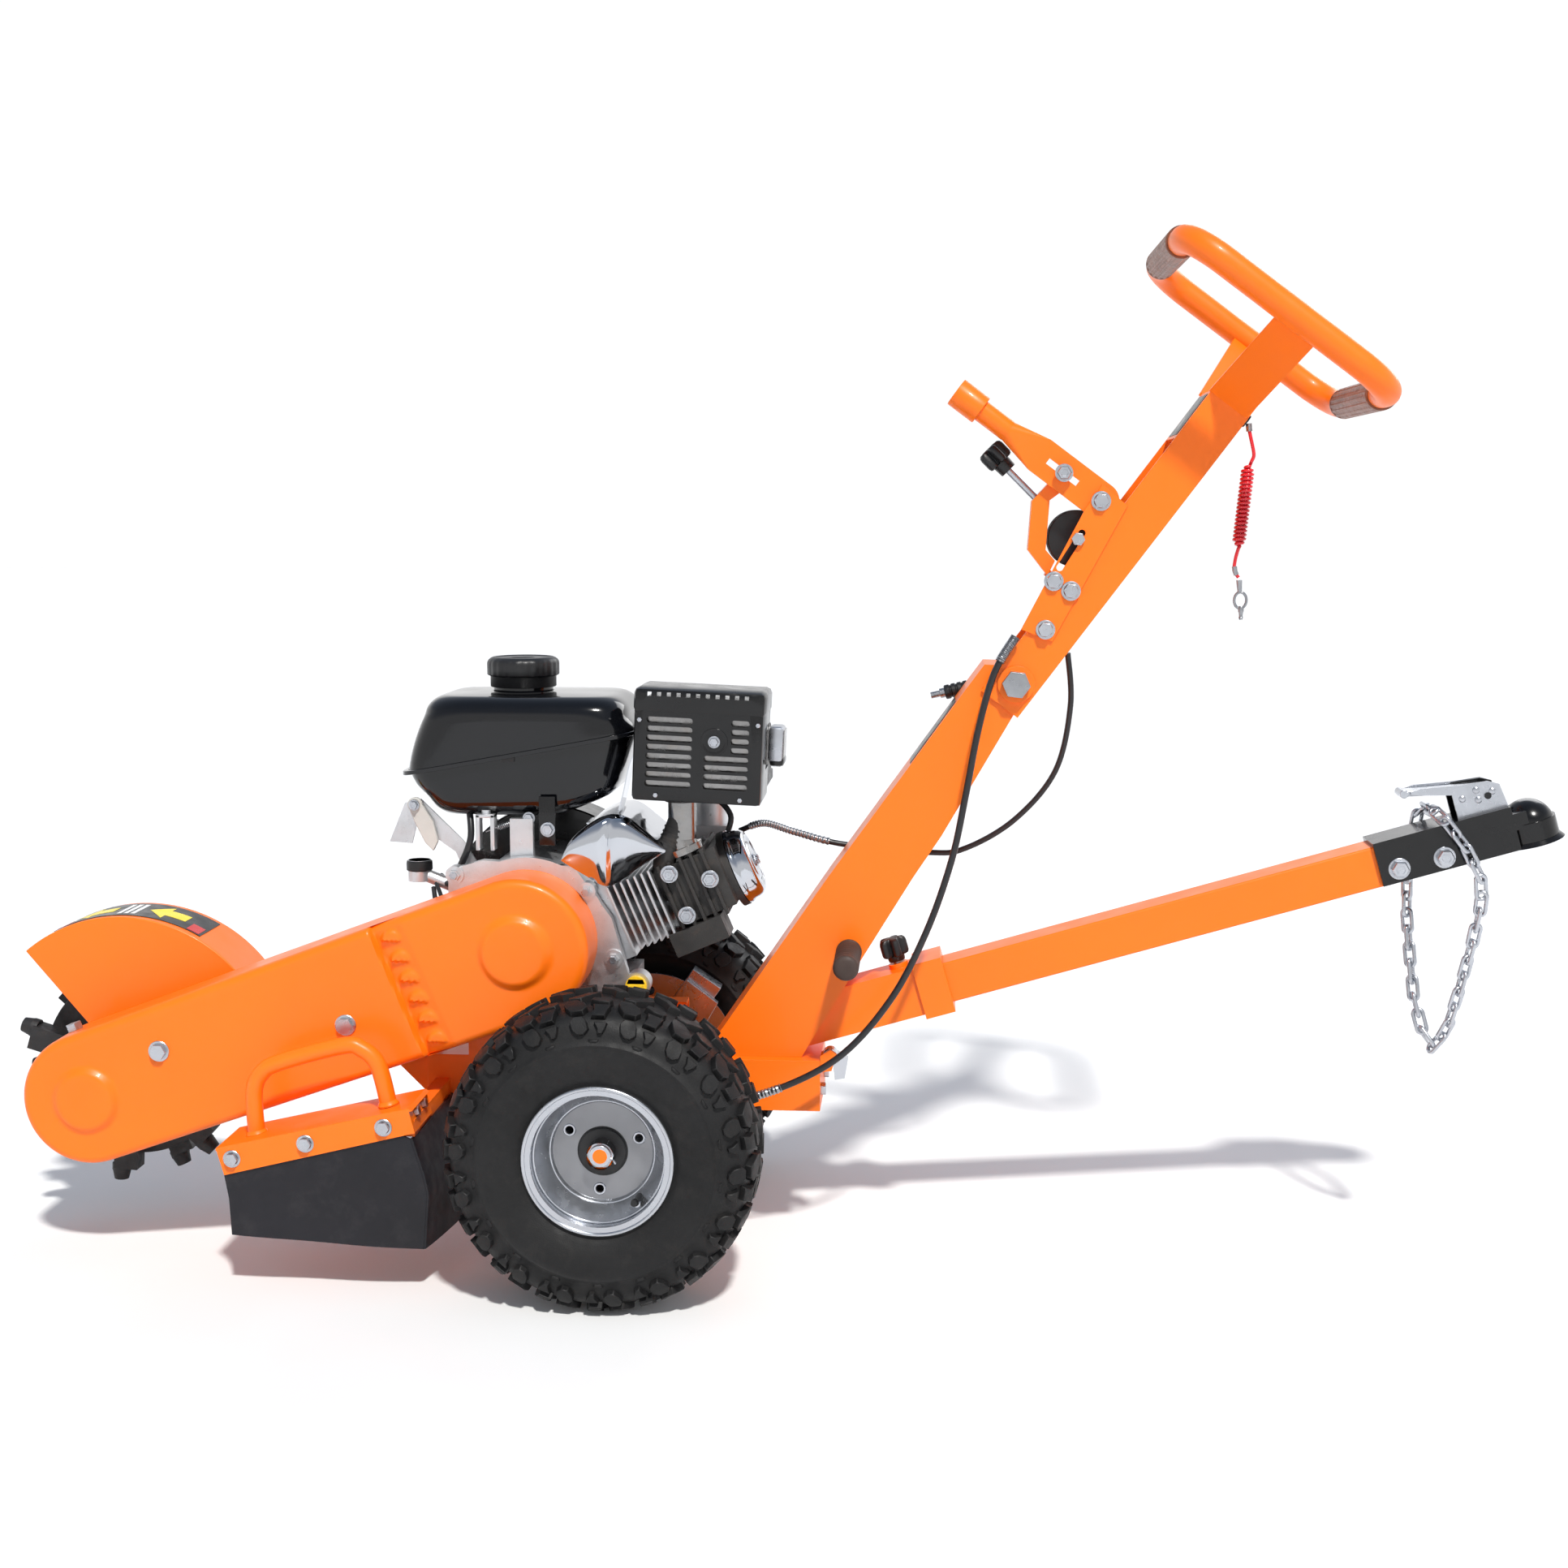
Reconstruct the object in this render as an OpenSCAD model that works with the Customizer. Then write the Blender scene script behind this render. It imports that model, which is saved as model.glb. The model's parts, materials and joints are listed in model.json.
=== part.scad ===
// Walk-behind stump grinder: cutter head on a boom, belt drive, petrol engine,
// two turf wheels, a folding steering arm and a removable tow bar.
// Millimetres. X runs along the machine toward the tow end, Y across it, Z up.

/* [Wheels] */
// Radius over the tyre tread
tyre_radius = 181; // [160:1:200]
// Width over the tyre sidewalls
tyre_width = 145; // [120:1:160]
// Distance between the two tyre mid-planes
wheel_track = 486; // [460:1:520]
// Radius over the rim flange
rim_radius = 86; // [80:1:90]
// Radius of the fixed axle
axle_radius = 12.5; // [10:0.5:14]

/* [Cutter] */
// Radius of the cutter disc
disc_radius = 118; // [100:1:120]
// Number of cutting teeth
tooth_count = 14; // [8:1:16]
// Radius over the carbide tips
tooth_radius = 148; // [135:1:155]
// Outer radius of the cutter hood
hood_radius = 192; // [180:1:200]
// Radius of the cutter shaft
shaft_radius = 15; // [12:0.5:18]

/* [Belt drive] */
// Groove floor radius of the driven pulley
driven_floor = 52; // [45:1:54]
// Groove floor radius of the engine pulley
drive_floor = 58; // [50:1:60]
// Outer radius of the guard round the cutter shaft
guard_front_radius = 80; // [78:1:84]
// Outer radius of the guard round the engine shaft
guard_rear_radius = 86; // [84:1:90]

/* [Engine] */
// Height of the engine foot above the ground
engine_base = 281; // [281:1:283]
// Lean of the cylinder above level, degrees
cylinder_lean = 23; // [20:0.5:25]
// Number of cooling fins on the cylinder
fin_count = 7; // [5:1:7]

/* [Mast and arm] */
// Lean of the arm above level, degrees
arm_lean = 53.3; // [50:0.1:56]
// Half width across the handle loop tube centres
loop_half_width = 176; // [150:1:176]
// Radius of the handle loop tube
loop_tube = 16; // [14:0.5:17]
// Distance from pivot to the plane of the handle loop
loop_reach = 509; // [490:1:520]

/* [Tow bar] */
// Lean of the tow bar above level, degrees
tow_lean = 16.33; // [14:0.1:18]
// Outer size of the square tow bar
tow_size = 50; // [46:1:50]

/* [Hidden] */
$fn = 48;
mid_x = 168.41;
axle_z = tyre_radius;
half_track = wheel_track / 2;
cut_x = -640;
cut_z = 203;
crank_x = -117;
crank_z = 387;
pivot = [467.5, 0, 697.3];
guard_a = [-641.8, 198.6];
guard_b = [-117.4, 387.5];
steel_gap = 0.3;

brake_route = [[466, -60, 754], [441, -65, 711], [423, -70, 644], [409, -75, 567], [393, -80, 489],
    [363, -90, 402], [320, -95, 319], [257, -100, 249], [170, -108, 207], [92, -112, 196]];
throttle_route = [[533, 30, 729], [538, 40, 663], [522, 60, 580], [473, 70, 517], [412, 75, 479],
    [366, 75, 473], [259, 76, 482], [197, 76, 497], [157, 76, 508], [125, 84, 497]];
strap_route = [[736, -20, 1002], [738, -20, 990], [743, -20, 968], [741, -20, 960], [736, -20, 956]];
tail_route = [[728, -20, 858], [725, -20, 845], [724, -20, 832], [729, -20, 822]];
chain_route = [[968, -20, 545], [978, -38, 535], [1000, -41, 508], [1020, -41, 470], [1023, -38, 440],
    [1017, -30, 390], [1006, -22, 330], [995, -14, 280], [982, -6, 254], [970, 2, 270], [960, 12, 310],
    [956, 24, 360], [953, 36, 410], [953, 42, 450], [957, 41, 500], [962, 38, 535], [966, 20, 545],
    [968, -20, 545]];

// ---- frames and small shapes ----

module part(c) {
    translate([-mid_x, 0, 0]) color(c) children();
}

// Plate with its outline in X and Z, from y0 to y0 + t
module plate_y(pts, y0, t) {
    translate([0, y0 + t, 0]) rotate([90, 0, 0]) linear_extrude(t) polygon(pts);
}

// Round bar along Y
module rod_y(x, z, y0, y1, r) {
    translate([x, y1, z]) rotate([90, 0, 0]) cylinder(r = r, h = y1 - y0);
}

// Hexagon along Y
module hex_y(x, z, y0, y1, r) {
    translate([x, y1, z]) rotate([90, 0, 0]) cylinder(r = r, h = y1 - y0, $fn = 6);
}

// Round bar between two points
module rod(p, q, r) {
    v = q - p;
    h = norm(v);
    translate(p) rotate([0, acos(v[2] / h), atan2(v[1], v[0])]) cylinder(r = r, h = h);
}

// Flat bar between two points of the X-Z plane
module beam(x0, z0, x1, z1, w, y0, y1) {
    translate([x0, y0, z0]) rotate([0, -atan2(z1 - z0, x1 - x0), 0])
        translate([0, 0, -w / 2]) cube([norm([x1 - x0, z1 - z0]), y1 - y0, w]);
}

// Box from one corner to the other
module box(a, b) {
    translate(a) cube(b - a);
}

module arm() {
    translate(pivot) rotate([0, -arm_lean, 0]) children();
}

module tow() {
    translate([390.8, 0, 327.8]) rotate([0, -tow_lean, 0]) children();
}

module eng() {
    translate([crank_x, -18, 360]) rotate([0, -cylinder_lean, 0]) children();
}

module can() {
    translate([94, 0, 625]) rotate([0, 2.6, 0]) children();
}

// Outline of a belt run: two discs and the straight part between them
module capsule(a, b, ra, rb, y0, y1) {
    d = b - a;
    n = atan2(d[1], d[0]);
    k = asin((rb - ra) / norm(d));
    u = [cos(n + 90 + k), sin(n + 90 + k)];
    w = [cos(n - 90 - k), sin(n - 90 - k)];
    rod_y(a[0], a[1], y0, y1, ra);
    rod_y(b[0], b[1], y0, y1, rb);
    plate_y([a + ra * w, b + rb * w, b + rb * u, a + ra * u], y0, y1 - y0);
}

function unit(v) = v / norm(v);

function spline(p, i, t) = let (
    a = p[max(i - 1, 0)], b = p[i], c = p[i + 1], d = p[min(i + 2, len(p) - 1)])
    0.5 * (2 * b + (c - a) * t + (2 * a - 5 * b + 4 * c - d) * t * t + (3 * b - a - 3 * c + d) * t * t * t);

function smooth(p, m) = concat(
    [for (i = [0:len(p) - 2]) for (k = [0:m - 1]) spline(p, i, k / m)], [p[len(p) - 1]]);

function heading(p, i) = unit(p[min(i + 1, len(p) - 1)] - p[max(i - 1, 0)]);

// Round cord along a list of points
module cord(p, r, n) {
    last = len(p) - 1;
    pts = [for (i = [0:last]) let (
        t = heading(p, i), a = unit(cross(t, [0, 1, 0])), b = cross(a, t))
        for (k = [0:n - 1]) p[i] + r * (cos(360 * k / n) * a + sin(360 * k / n) * b)];
    sides = [for (i = [0:last - 1]) for (k = [0:n - 1]) for (f = [0, 1])
        f == 0 ? [i * n + k, (i + 1) * n + k, i * n + (k + 1) % n]
               : [i * n + (k + 1) % n, (i + 1) * n + k, (i + 1) * n + (k + 1) % n]];
    ends = [[for (k = [0:n - 1]) k], [for (k = [n - 1:-1:0]) last * n + k]];
    polyhedron(pts, concat(sides, ends));
}

function run_len(p, i) = i == 0 ? 0 : run_len(p, i - 1) + norm(p[i] - p[i - 1]);

function run_index(p, d, i) = i >= len(p) - 2 || run_len(p, i + 1) > d ? i : run_index(p, d, i + 1);

function run_at(p, d) = let (i = run_index(p, d, 0))
    p[i] + (d - run_len(p, i)) * unit(p[i + 1] - p[i]);

// ---- wheels ----

module tyre(side) {
    w = tyre_width / 2;
    r = tyre_radius;
    half = [[80, 57], [88, 57], [95, 63], [110, 69], [134, w], [r - 30, w], [r - 14, w - 2.5],
        [r - 5, w - 10], [r, w - 24]];
    outline = concat(half, [for (i = [len(half) - 1:-1:0]) [half[i][0], -half[i][1]]]);
    translate([0, side * half_track, axle_z]) rotate([-90 * side, 0, 0])
        rotate_extrude($fn = 96) polygon(outline);
}

module rim(side) {
    b = axle_radius + 0.05;
    f = rim_radius;
    translate([0, side * half_track, axle_z]) rotate([-90 * side, 0, 0]) difference() {
        union() {
            rotate_extrude() polygon([[b, -105], [27, -105], [27, -101], [115, -101], [115, -96],
                [27, -96], [27, 15], [58, 15], [76, 32], [76, -61], [f, -61], [f, -57], [80, -57],
                [80, 57], [f, 57], [f, 61], [76, 61], [76, 45], [57, 19], [27, 19], [27, 23], [b, 23]]);
            rotate([0, 0, -49]) translate([66, 0, 28]) cylinder(r = 4, h = 26);
        }
        for (a = [21, 148, -95]) rotate([0, 0, a]) translate([44.6, 0, 10]) cylinder(r = 4.6, h = 12);
        for (a = [0:45:315]) rotate([0, 0, a]) translate([92, 0, -103]) cylinder(r = 6, h = 9);
    }
}

module tyre_left() {
    part("#202022") tyre(-1);
}

module rim_left() {
    part("#b8bbc0") rim(-1);
}

module tyre_right() {
    part("#202022") tyre(1);
}

module rim_right() {
    part("#b8bbc0") rim(1);
}

module axle() {
    part("#9a9ca0") {
        rod_y(0, axle_z, -284, 284, axle_radius);
        for (s = [-1, 1]) {
            rod_y(0, axle_z, min(s * 125, s * 137), max(s * 125, s * 137), 20);
            hex_y(0, axle_z, min(s * 267, s * 279), max(s * 267, s * 279), 15.5);
        }
    }
}

module brake_calipers() {
    part("#8d9094") for (s = [-1, 1]) difference() {
        union() {
            translate([0, s * 144.5, axle_z]) rotate([0, -55.3, 0]) translate([78, -13.5, -22])
                cube([57, 27, 44]);
            translate([0, s * 126.5, 0])
                plate_y([[30, 196], [54, 196], [92, 262], [52, 292], [34, 240]], -5.5, 11);
            rod_y(42, 214, min(s * 61, s * 121), max(s * 61, s * 121), 9);
        }
        rod_y(0, axle_z, s * 144.5 - 4, s * 144.5 + 4, 117);
    }
}

// ---- chassis ----

module side_plate(y0) {
    plate_y([[-250, 173], [-34, 173], [-28, 156], [28, 156], [34, 173], [236, 173], [236, 231],
        [-250, 231]], y0, 5);
}

module chassis_frame() {
    part("#f47a1f") difference() {
        union() {
            side_plate(-61);
            side_plate(56);
            box([-250, -61, 231], [236, 61, 236]);
            box([231, -56, 173], [236, 56, 231]);
            box([-102, -56, 176], [-82, 56, 206]);
            box([60, -56, 173], [160, 56, 178]);
            for (s = [-1, 1]) difference() {
                box([-195, min(s * 47, s * 75), 236], [60, max(s * 47, s * 75), engine_base]);
                box([-196, min(s * 51, s * 71), 240], [61, max(s * 51, s * 71), engine_base - 4]);
            }
            for (y = [-62, -42]) plate_y([[236, 222], [250, 224], [256, 244], [248, 250], [236, 242]], y, 4);
            rod_y(248, 242, -62, -38, 4);
        }
        rod_y(0, axle_z, -70, 70, axle_radius + 0.05);
    }
}

module boom() {
    part("#f47a1f") {
        for (y = [-56, 49]) difference() {
            union() {
                plate_y([[-655, 152], [-330, 264], [-244, 178], [-130, 178], [-130, 230.9],
                    [-254, 230.9], [-264, 312], [-330, 358], [-655, 244]], y, 7);
                rod_y(cut_x, cut_z, y, y + 7, 50);
            }
            rod_y(cut_x, cut_z, y - 1, y + 8, 24);
        }
        box([-420, -49, 300], [-395, 49, 320]);
        box([-300, -49, 290], [-275, 49, 310]);
    }
}

module cutter_hood() {
    cx = -637;
    cz = 208;
    wedge = [[cx, cz], [-900, 521], [-900, 620], [-300, 620], [-300, 330], [-440, 262]];
    part("#f47a1f") difference() {
        intersection() {
            union() {
                difference() {
                    rod_y(cx, cz, -49, 49, hood_radius);
                    rod_y(cx, cz, -50, 50, hood_radius - 4);
                }
                for (y = [-49, 45]) difference() {
                    rod_y(cx, cz, y, y + 4, hood_radius - 2);
                    rod_y(cx, cz, y - 1, y + 5, 40);
                }
            }
            plate_y(wedge, -60, 120);
        }
    }
}

module bearing_blocks() {
    part("#3a3c3f") for (s = [-1, 1]) difference() {
        union() {
            translate([cut_x, s * 61, cut_z]) rotate([0, -20, 0]) cube([84, 10, 84], center = true);
            rod_y(cut_x, cut_z, min(s * 60, s * 84), max(s * 60, s * 84), 33);
            translate([cut_x, s * 76, cut_z + 30]) cylinder(r = 4, h = 9);
        }
        rod_y(cut_x, cut_z, -90, 90, shaft_radius + 0.05);
    }
}

module guard_outline(inset, y0, y1) {
    capsule(guard_a, guard_b, guard_front_radius - inset, guard_rear_radius - inset, y0, y1);
}

module belt_guard() {
    part("#f47a1f") {
        difference() {
            union() {
                difference() {
                    guard_outline(0, -165, -92);
                    guard_outline(3, -162, -91);
                }
                rod_y(-641.8, 198.6, -169, -164, 38);
                rod_y(-117.4, 387.5, -169, -164, 41);
            }
            rod_y(-641.8, 198.6, -166, -161, 33);
            rod_y(-117.4, 387.5, -166, -161, 36);
            beam(-281, 437, -202, 254, 30, -166, -161);
            rod_y(-549.4, 261.3, -170, -160, 4.05);
            rod_y(-321.4, 297.2, -170, -160, 4.05);
            translate([-641.8, -120, 198.6]) rotate([0, -20.43, 0]) translate([0, 0, 70])
                cylinder(r = 4.05, h = 20);
        }
        intersection() {
            guard_outline(1, -165, -157);
            union() {
                beam(-281, 437, -202, 254, 34, -162, -158);
                for (i = [0:5]) {
                    f = 0.17 + i * 0.132;
                    difference() {
                        rod_y(-281 + 79 * f, 437 - 183 * f, -165, -160, 11);
                        beam(-300 + 79 * f, 420 - 183 * f, -250 + 79 * f, 438 - 183 * f, 16, -166, -159);
                    }
                }
            }
        }
    }
}

module guard_back_plate() {
    part("#d96a18") difference() {
        guard_outline(0, -92, -89);
        rod_y(cut_x, cut_z, -93, -88, 22);
        rod_y(crank_x, crank_z, -93, -88, 30);
    }
}

module belt_loop(grow, y0, y1) {
    hull() {
        translate([cut_x, y1, cut_z]) rotate([90, 0, 0])
            cylinder(r = driven_floor + grow, h = y1 - y0, $fn = 72);
        translate([crank_x, y1, crank_z]) rotate([90, 0, 0])
            cylinder(r = drive_floor + grow, h = y1 - y0, $fn = 72);
    }
}

module drive_belts() {
    part("#1c1c1e") for (y = [-148, -133, -118]) difference() {
        belt_loop(8.5, y, y + 12);
        belt_loop(0.6, y - 1, y + 13);
    }
}

module curtain_bracket() {
    part("#f47a1f") difference() {
        union() {
            plate_y([[-454, 170], [-227, 222], [-222, 219], [-454, 166.5]], -250, 84);
            plate_y([[-454, 170], [-227, 222], [-219.5, 193], [-445, 138]], -250, 3);
            plate_y([[-230, 221], [-227, 222], [-219.5, 193], [-222.5, 192]], -250, 84);
            box([-240, -240, 186], [-222, -61, 206]);
            box([-240, 61, 186], [-222, 250, 206]);
        }
        for (p = [[-435, 158], [-348, 178], [-256, 199]]) rod_y(p[0], p[1], -251, -246, 3.05);
    }
}

module rubber_curtains() {
    part("#232325") {
        difference() {
            plate_y([[-447, 142], [-242, 192], [-226, 185], [-212, 140], [-208, 119], [-213, 54],
                [-438, 67], [-441, 110]], -247, 3);
            for (p = [[-435, 158], [-348, 178], [-256, 199]]) rod_y(p[0], p[1], -251, -240, 3.05);
        }
        plate_y([[-221, 188], [-218, 188], [-190, 55], [-193, 55]], -243.5, 180);
        plate_y([[-221, 206], [-218, 206], [-190, 55], [-193, 55]], 63, 180);
    }
}

module lift_handle() {
    q = [[-416, -215, 166], [-418, -215, 228], [-408, -215, 251], [-386, -215, 264], [-312, -215, 285],
        [-289, -215, 282], [-270, -215, 263], [-255, -215, 200]];
    part("#f47a1f") difference() {
        cord(smooth(q, 5), 10, 14);
        plate_y([[-470, 166.33], [-210, 225.9], [-210, 100], [-470, 100]], -260, 100);
    }
}

module chassis_bolts() {
    part("#b0b3b8") {
        for (p = [[-549.4, 261.3], [-321.4, 297.2]]) {
            hex_y(p[0], p[1], -173, -165, 10);
            rod_y(p[0], p[1], -166, -155, 4);
        }
        for (p = [[-435, 158], [-348, 178], [-256, 199]]) {
            hex_y(p[0], p[1], -257, -250, 8);
            rod_y(p[0], p[1], -251, -241, 3);
        }
        translate([-641.8, -120, 198.6]) rotate([0, -20.43, 0]) {
            translate([0, 0, 80.05]) cylinder(r = 10, h = 9, $fn = 6);
            translate([0, 0, 72]) cylinder(r = 4, h = 9);
        }
        for (y = [-228, -194]) translate([-224.4, y, 212.2]) rotate([0, 75.5, 0])
            cylinder(r = 5.8, h = 6, $fn = 6);
        for (y = [-40, 40]) translate([236, y, 196]) rotate([0, 90, 0]) cylinder(r = 8, h = 6, $fn = 6);
    }
}

// ---- mast ----

module mast_outline(y0, t) {
    plate_y([[91, 236], [212, 236], [286, 361], [348, 463], [381, 513], [466, 661], [484.7, 684.4],
        [467.5, 697.3], [467.5, 718.8], [430, 720], [408, 690], [245, 462]], y0, t);
    rod_y(pivot[0], pivot[2], y0, y0 + t, 21.4);
}

module mast() {
    part("#f47a1f") difference() {
        mast_outline(-45, 90);
        plate_y([[98, 235], [208, 235], [282, 362], [344, 465], [377, 515], [453, 650], [412, 682],
            [248.5, 459.8]], -41, 82);
        rod_y(pivot[0], pivot[2], -50, 50, 10.05);
        tow() box([-230, -30, -30], [0, 30, 30]);
        for (s = [-1, 1]) rod_y(270, 369, min(s * 40, s * 50), max(s * 40, s * 50), 8.05);
    }
}

module foot_pegs() {
    part("#2a2422") for (s = [-1, 1]) {
        rod_y(270, 369, min(s * 45, s * 138), max(s * 45, s * 138), 15.4);
        rod_y(270, 369, min(s * 136, s * 141), max(s * 136, s * 141), 13);
        rod_y(270, 369, min(s * 34, s * 46), max(s * 34, s * 46), 8);
    }
}

module tow_receiver() {
    part("#f47a1f") difference() {
        union() {
            tow() box([-199, -30, -30], [0, 30, 30]);
            tow() difference() {
                box([-37, -35, -35], [0, 35, 35]);
                box([-38, -29, -29], [1, 29, 29]);
            }
            tow() translate([-54, 0, 29]) cylinder(r = 12, h = 7);
            tow() translate([-20, -12, -40]) cube([14, 24, 6]);
        }
        tow() box([-200, -tow_size / 2 - steel_gap, -tow_size / 2 - steel_gap],
            [1, tow_size / 2 + steel_gap, tow_size / 2 + steel_gap]);
        tow() translate([-54, 0, 20]) cylinder(r = 5.05, h = 20);
    }
}

// ---- engine ----

module engine_block() {
    part("#c9cbce") difference() {
        union() {
            rod_y(crank_x, crank_z, -76, 76, 97);
            box([-205, -75, engine_base], [2, 75, 330]);
            eng() box([30, -54, -45], [123, 63, 54]);
            rod([-262, -30, 458], [-190, -30, 430], 8);
            translate([-262, -30, 448]) cylinder(r = 14, h = 26);
            box([-140, -70, 474], [-112, -60, 532]);
            plate_y([[-296, 498], [-268, 496], [-262, 520], [-214, 486], [-190, 430], [-166, 440], [-204, 500],
                [-256, 551], [-276, 546]], -40, 3);
            rod_y(-262, 545, -50, -38, 3);
        }
        rod_y(crank_x, crank_z, -80, -40, 12.75);
        rod_y(15.5, 333, -80, -60, 16.3);
    }
}

module crankcase_cover() {
    part("#d3d5d8") difference() {
        union() {
            rod_y(crank_x, crank_z, -89, -76, 101);
            plate_y([[-205, 281], [2, 281], [6, 345], [-14, 415], [-60, 478], [-170, 484], [-212, 472],
                [-214, 380]], -89, 13);
            rod_y(15.5, 333, -89, -64, 16);
            for (p = [[-204, 466], [-3, 296], [-12, 366], [-44, 448], [-206, 300]])
                rod_y(p[0], p[1], -92, -76, 11);
            for (p = [[-204, 466], [-3, 296], [-12, 366], [-44, 448]]) hex_y(p[0], p[1], -98, -91, 7);
        }
        rod_y(crank_x, crank_z, -90, -75, 12.75);
        rod_y(15.5, 333, -90, -66, 8.05);
        guard_outline(-1, -99, -89);
    }
}

module cylinder_fins() {
    for (i = [0:fin_count - 1]) eng() box([124 + 9 * i, -70, -38], [127 + 9 * i, 68, 47]);
}

module cylinder_body() {
    cylinder_fins();
    eng() translate([125, 0, 4]) rotate([0, 90, 0]) cylinder(r = 34, h = 64);
    eng() box([187, -62, -32], [262, 62, 42]);
    for (i = [0:4]) eng() box([190 + 14 * i, -69, -38], [194 + 14 * i, 68, 47]);
    eng() translate([262, 0, 2]) rotate([0, 90, 0]) cylinder(r = 48, h = 8);
    eng() box([172, -74, -64], [240, -22, -35]);
    for (p = [[203, 34], [246, 10], [203, -20]]) eng() hex_y(p[0], p[1], -76, -60, 8);
}

module engine_cylinder() {
    part("#8f9296") cylinder_body();
}

module valve_cover() {
    part("#c6c9cd") {
        eng() translate([270, 0, 2]) rotate([0, 90, 0]) cylinder(r = 46, h = 6);
        eng() translate([276, 0, 2]) rotate([0, 90, 0]) cylinder(r1 = 44, r2 = 38, h = 18);
        eng() translate([294, 0, 2]) rotate([0, 90, 0]) cylinder(r = 8, h = 4);
    }
}

module cylinder_shroud() {
    part("#dfe2e6") {
        eng() plate_y([[87, 99], [110, 118], [150, 128], [178, 120], [212, 60], [170, 54], [150, 49],
            [126, 49]], -74, 3);
        eng() plate_y([[87, 99], [110, 118], [150, 128], [178, 120], [178, 117], [150, 125], [111, 115],
            [89, 97]], -71, 130);
    }
}

module fan_housing() {
    part("#29292c") difference() {
        union() {
            rod_y(crank_x, 400, 76, 150, 128);
            rod_y(crank_x, 400, 149, 166, 95);
            rod_y(crank_x, 400, 165, 196, 55);
        }
        rod_y(-189, 486, 84, 152, 4);
        for (a = [0:30:330]) translate([crank_x + 76 * cos(a), 150, 400 + 76 * sin(a)])
            rotate([-90, 0, 0]) translate([0, 0, 8]) cylinder(r = 9, h = 12);
    }
}

module starter_grip() {
    part("#1b1b1d") {
        rod_y(-189, 486, 90, 176, 2.5);
        hull() {
            rod([-215, 180, 486], [-163, 180, 486], 8);
            rod([-200, 172, 486], [-178, 172, 486], 7);
        }
        rod_y(-189, 486, 152, 170, 7);
    }
}

module tank_plane(grow, t) {
    translate([-131.5, 30, 610 - t / 2]) rotate([0, -10.3, 0]) translate([0, 0, t / 2])
        cube([286 + 2 * grow, 196 + 2 * grow, t], center = true);
}

module fuel_tank() {
    part("#16171a") difference() {
        union() {
            hull() {
                tank_plane(0, 2);
                for (x = [-226, -26]) for (y = [-40, 100]) translate([x, y, 653]) sphere(r = 26, $fn = 24);
            }
            hull() {
                tank_plane(-2, 2);
                for (x = [-226, -84]) for (y = [-44, 104]) translate([x, y, 554]) sphere(r = 21, $fn = 24);
                for (y = [-46, 106]) translate([-27, y, 574]) sphere(r = 17.5, $fn = 20);
            }
            tank_plane(5, 5);
            translate([-142, 40, 672]) cylinder(r = 37, h = 22);
        }
        translate([-142, 40, 665]) cylinder(r = 30, h = 40);
    }
}

module fuel_cap() {
    part("#141416") difference() {
        union() {
            translate([-142, 40, 684]) cylinder(r = 41, h = 14);
            translate([-142, 40, 698]) cylinder(r = 44, h = 18);
            translate([-142, 40, 716]) cylinder(r1 = 43, r2 = 38, h = 5);
            for (a = [0:15:345]) rotate_about(-142, 40, a) translate([-142 + 43, 40, 698])
                cylinder(r = 2, h = 18);
        }
        translate([-142, 40, 683]) cylinder(r = 37.05, h = 11.4);
    }
}

module rotate_about(x, y, a) {
    translate([x, y, 0]) rotate([0, 0, a]) translate([-x, -y, 0]) children();
}

module muffler() {
    part("#3b3a3a") {
        can() hull() for (x = [-58, 58]) for (z = [-46, 46]) rod_y(x, z, -104, -18, 12);
        can() box([60, -60, -22], [98, -24, 20]);
        eng() translate([228, -44, 47.2]) cylinder(r = 22, h = 8);
        eng() translate([228, -44, 54]) cylinder(r = 17, h = 14);
        rod([69, -62, 510], [69, -62, 575], 17);
    }
}

module muffler_guard() {
    part("#1d1d1f") difference() {
        can() box([-77, -113, -67], [77, -16, 67]);
        can() box([-74.5, -110.5, -80], [74.5, -10, 64.5]);
        can() box([70, -66, -28], [80, -18, 26]);
        for (i = [0:6]) for (x = [-66, 18]) can() box([x, -115, -52 + 13.5 * i], [x + 48, -109, -45 + 13.5 * i]);
        can() rod_y(19, 8, -114, -109, 4);
        for (i = [0:10]) can() box([-62 + 11.5 * i, -104, 60], [-56 + 11.5 * i, -98, 70]);
    }
}

module carburettor() {
    part("#a9acb1") {
        rod_y(87, 468, 51, 76, 20);
        box([62, 76, 442], [112, 124, 504]);
        translate([87, 100, 404]) cylinder(r = 24, h = 39);
        translate([87, 100, 503]) cylinder(r = 22, h = 56.8);
    }
}

module air_cleaner() {
    part("#1c1d20") {
        box([28, 4, 560], [164, 130, 572]);
        hull() {
            box([30, 6, 572], [162, 128, 630]);
            box([42, 16, 572], [150, 118, 648]);
        }
        translate([96, 67, 648]) cylinder(r = 14, h = 10);
    }
}

module dipstick() {
    part("#e8b820") {
        rod_y(15.5, 333, -89.6, -68, 8);
        rod_y(15.5, 333, -97, -89.4, 13);
        box([5, -104, 330], [26, -96, 336]);
    }
}

module choke_lever() {
    part("#b9b6ae") difference() {
        union() {
            rod_y(-262, 545, -48, -42, 9);
            plate_y([[-271, 545], [-253, 545], [-240, 524], [-234, 500], [-240, 488], [-250, 498], [-262, 522]],
                -48, 6);
        }
        rod_y(-262, 545, -60, -38, 3.05);
    }
}

module crankshaft() {
    part("#8b8e92") {
        rod_y(crank_x, crank_z, -153, -41, 12.7);
        hex_y(crank_x, crank_z, -159, -152.5, 11);
    }
}

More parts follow.
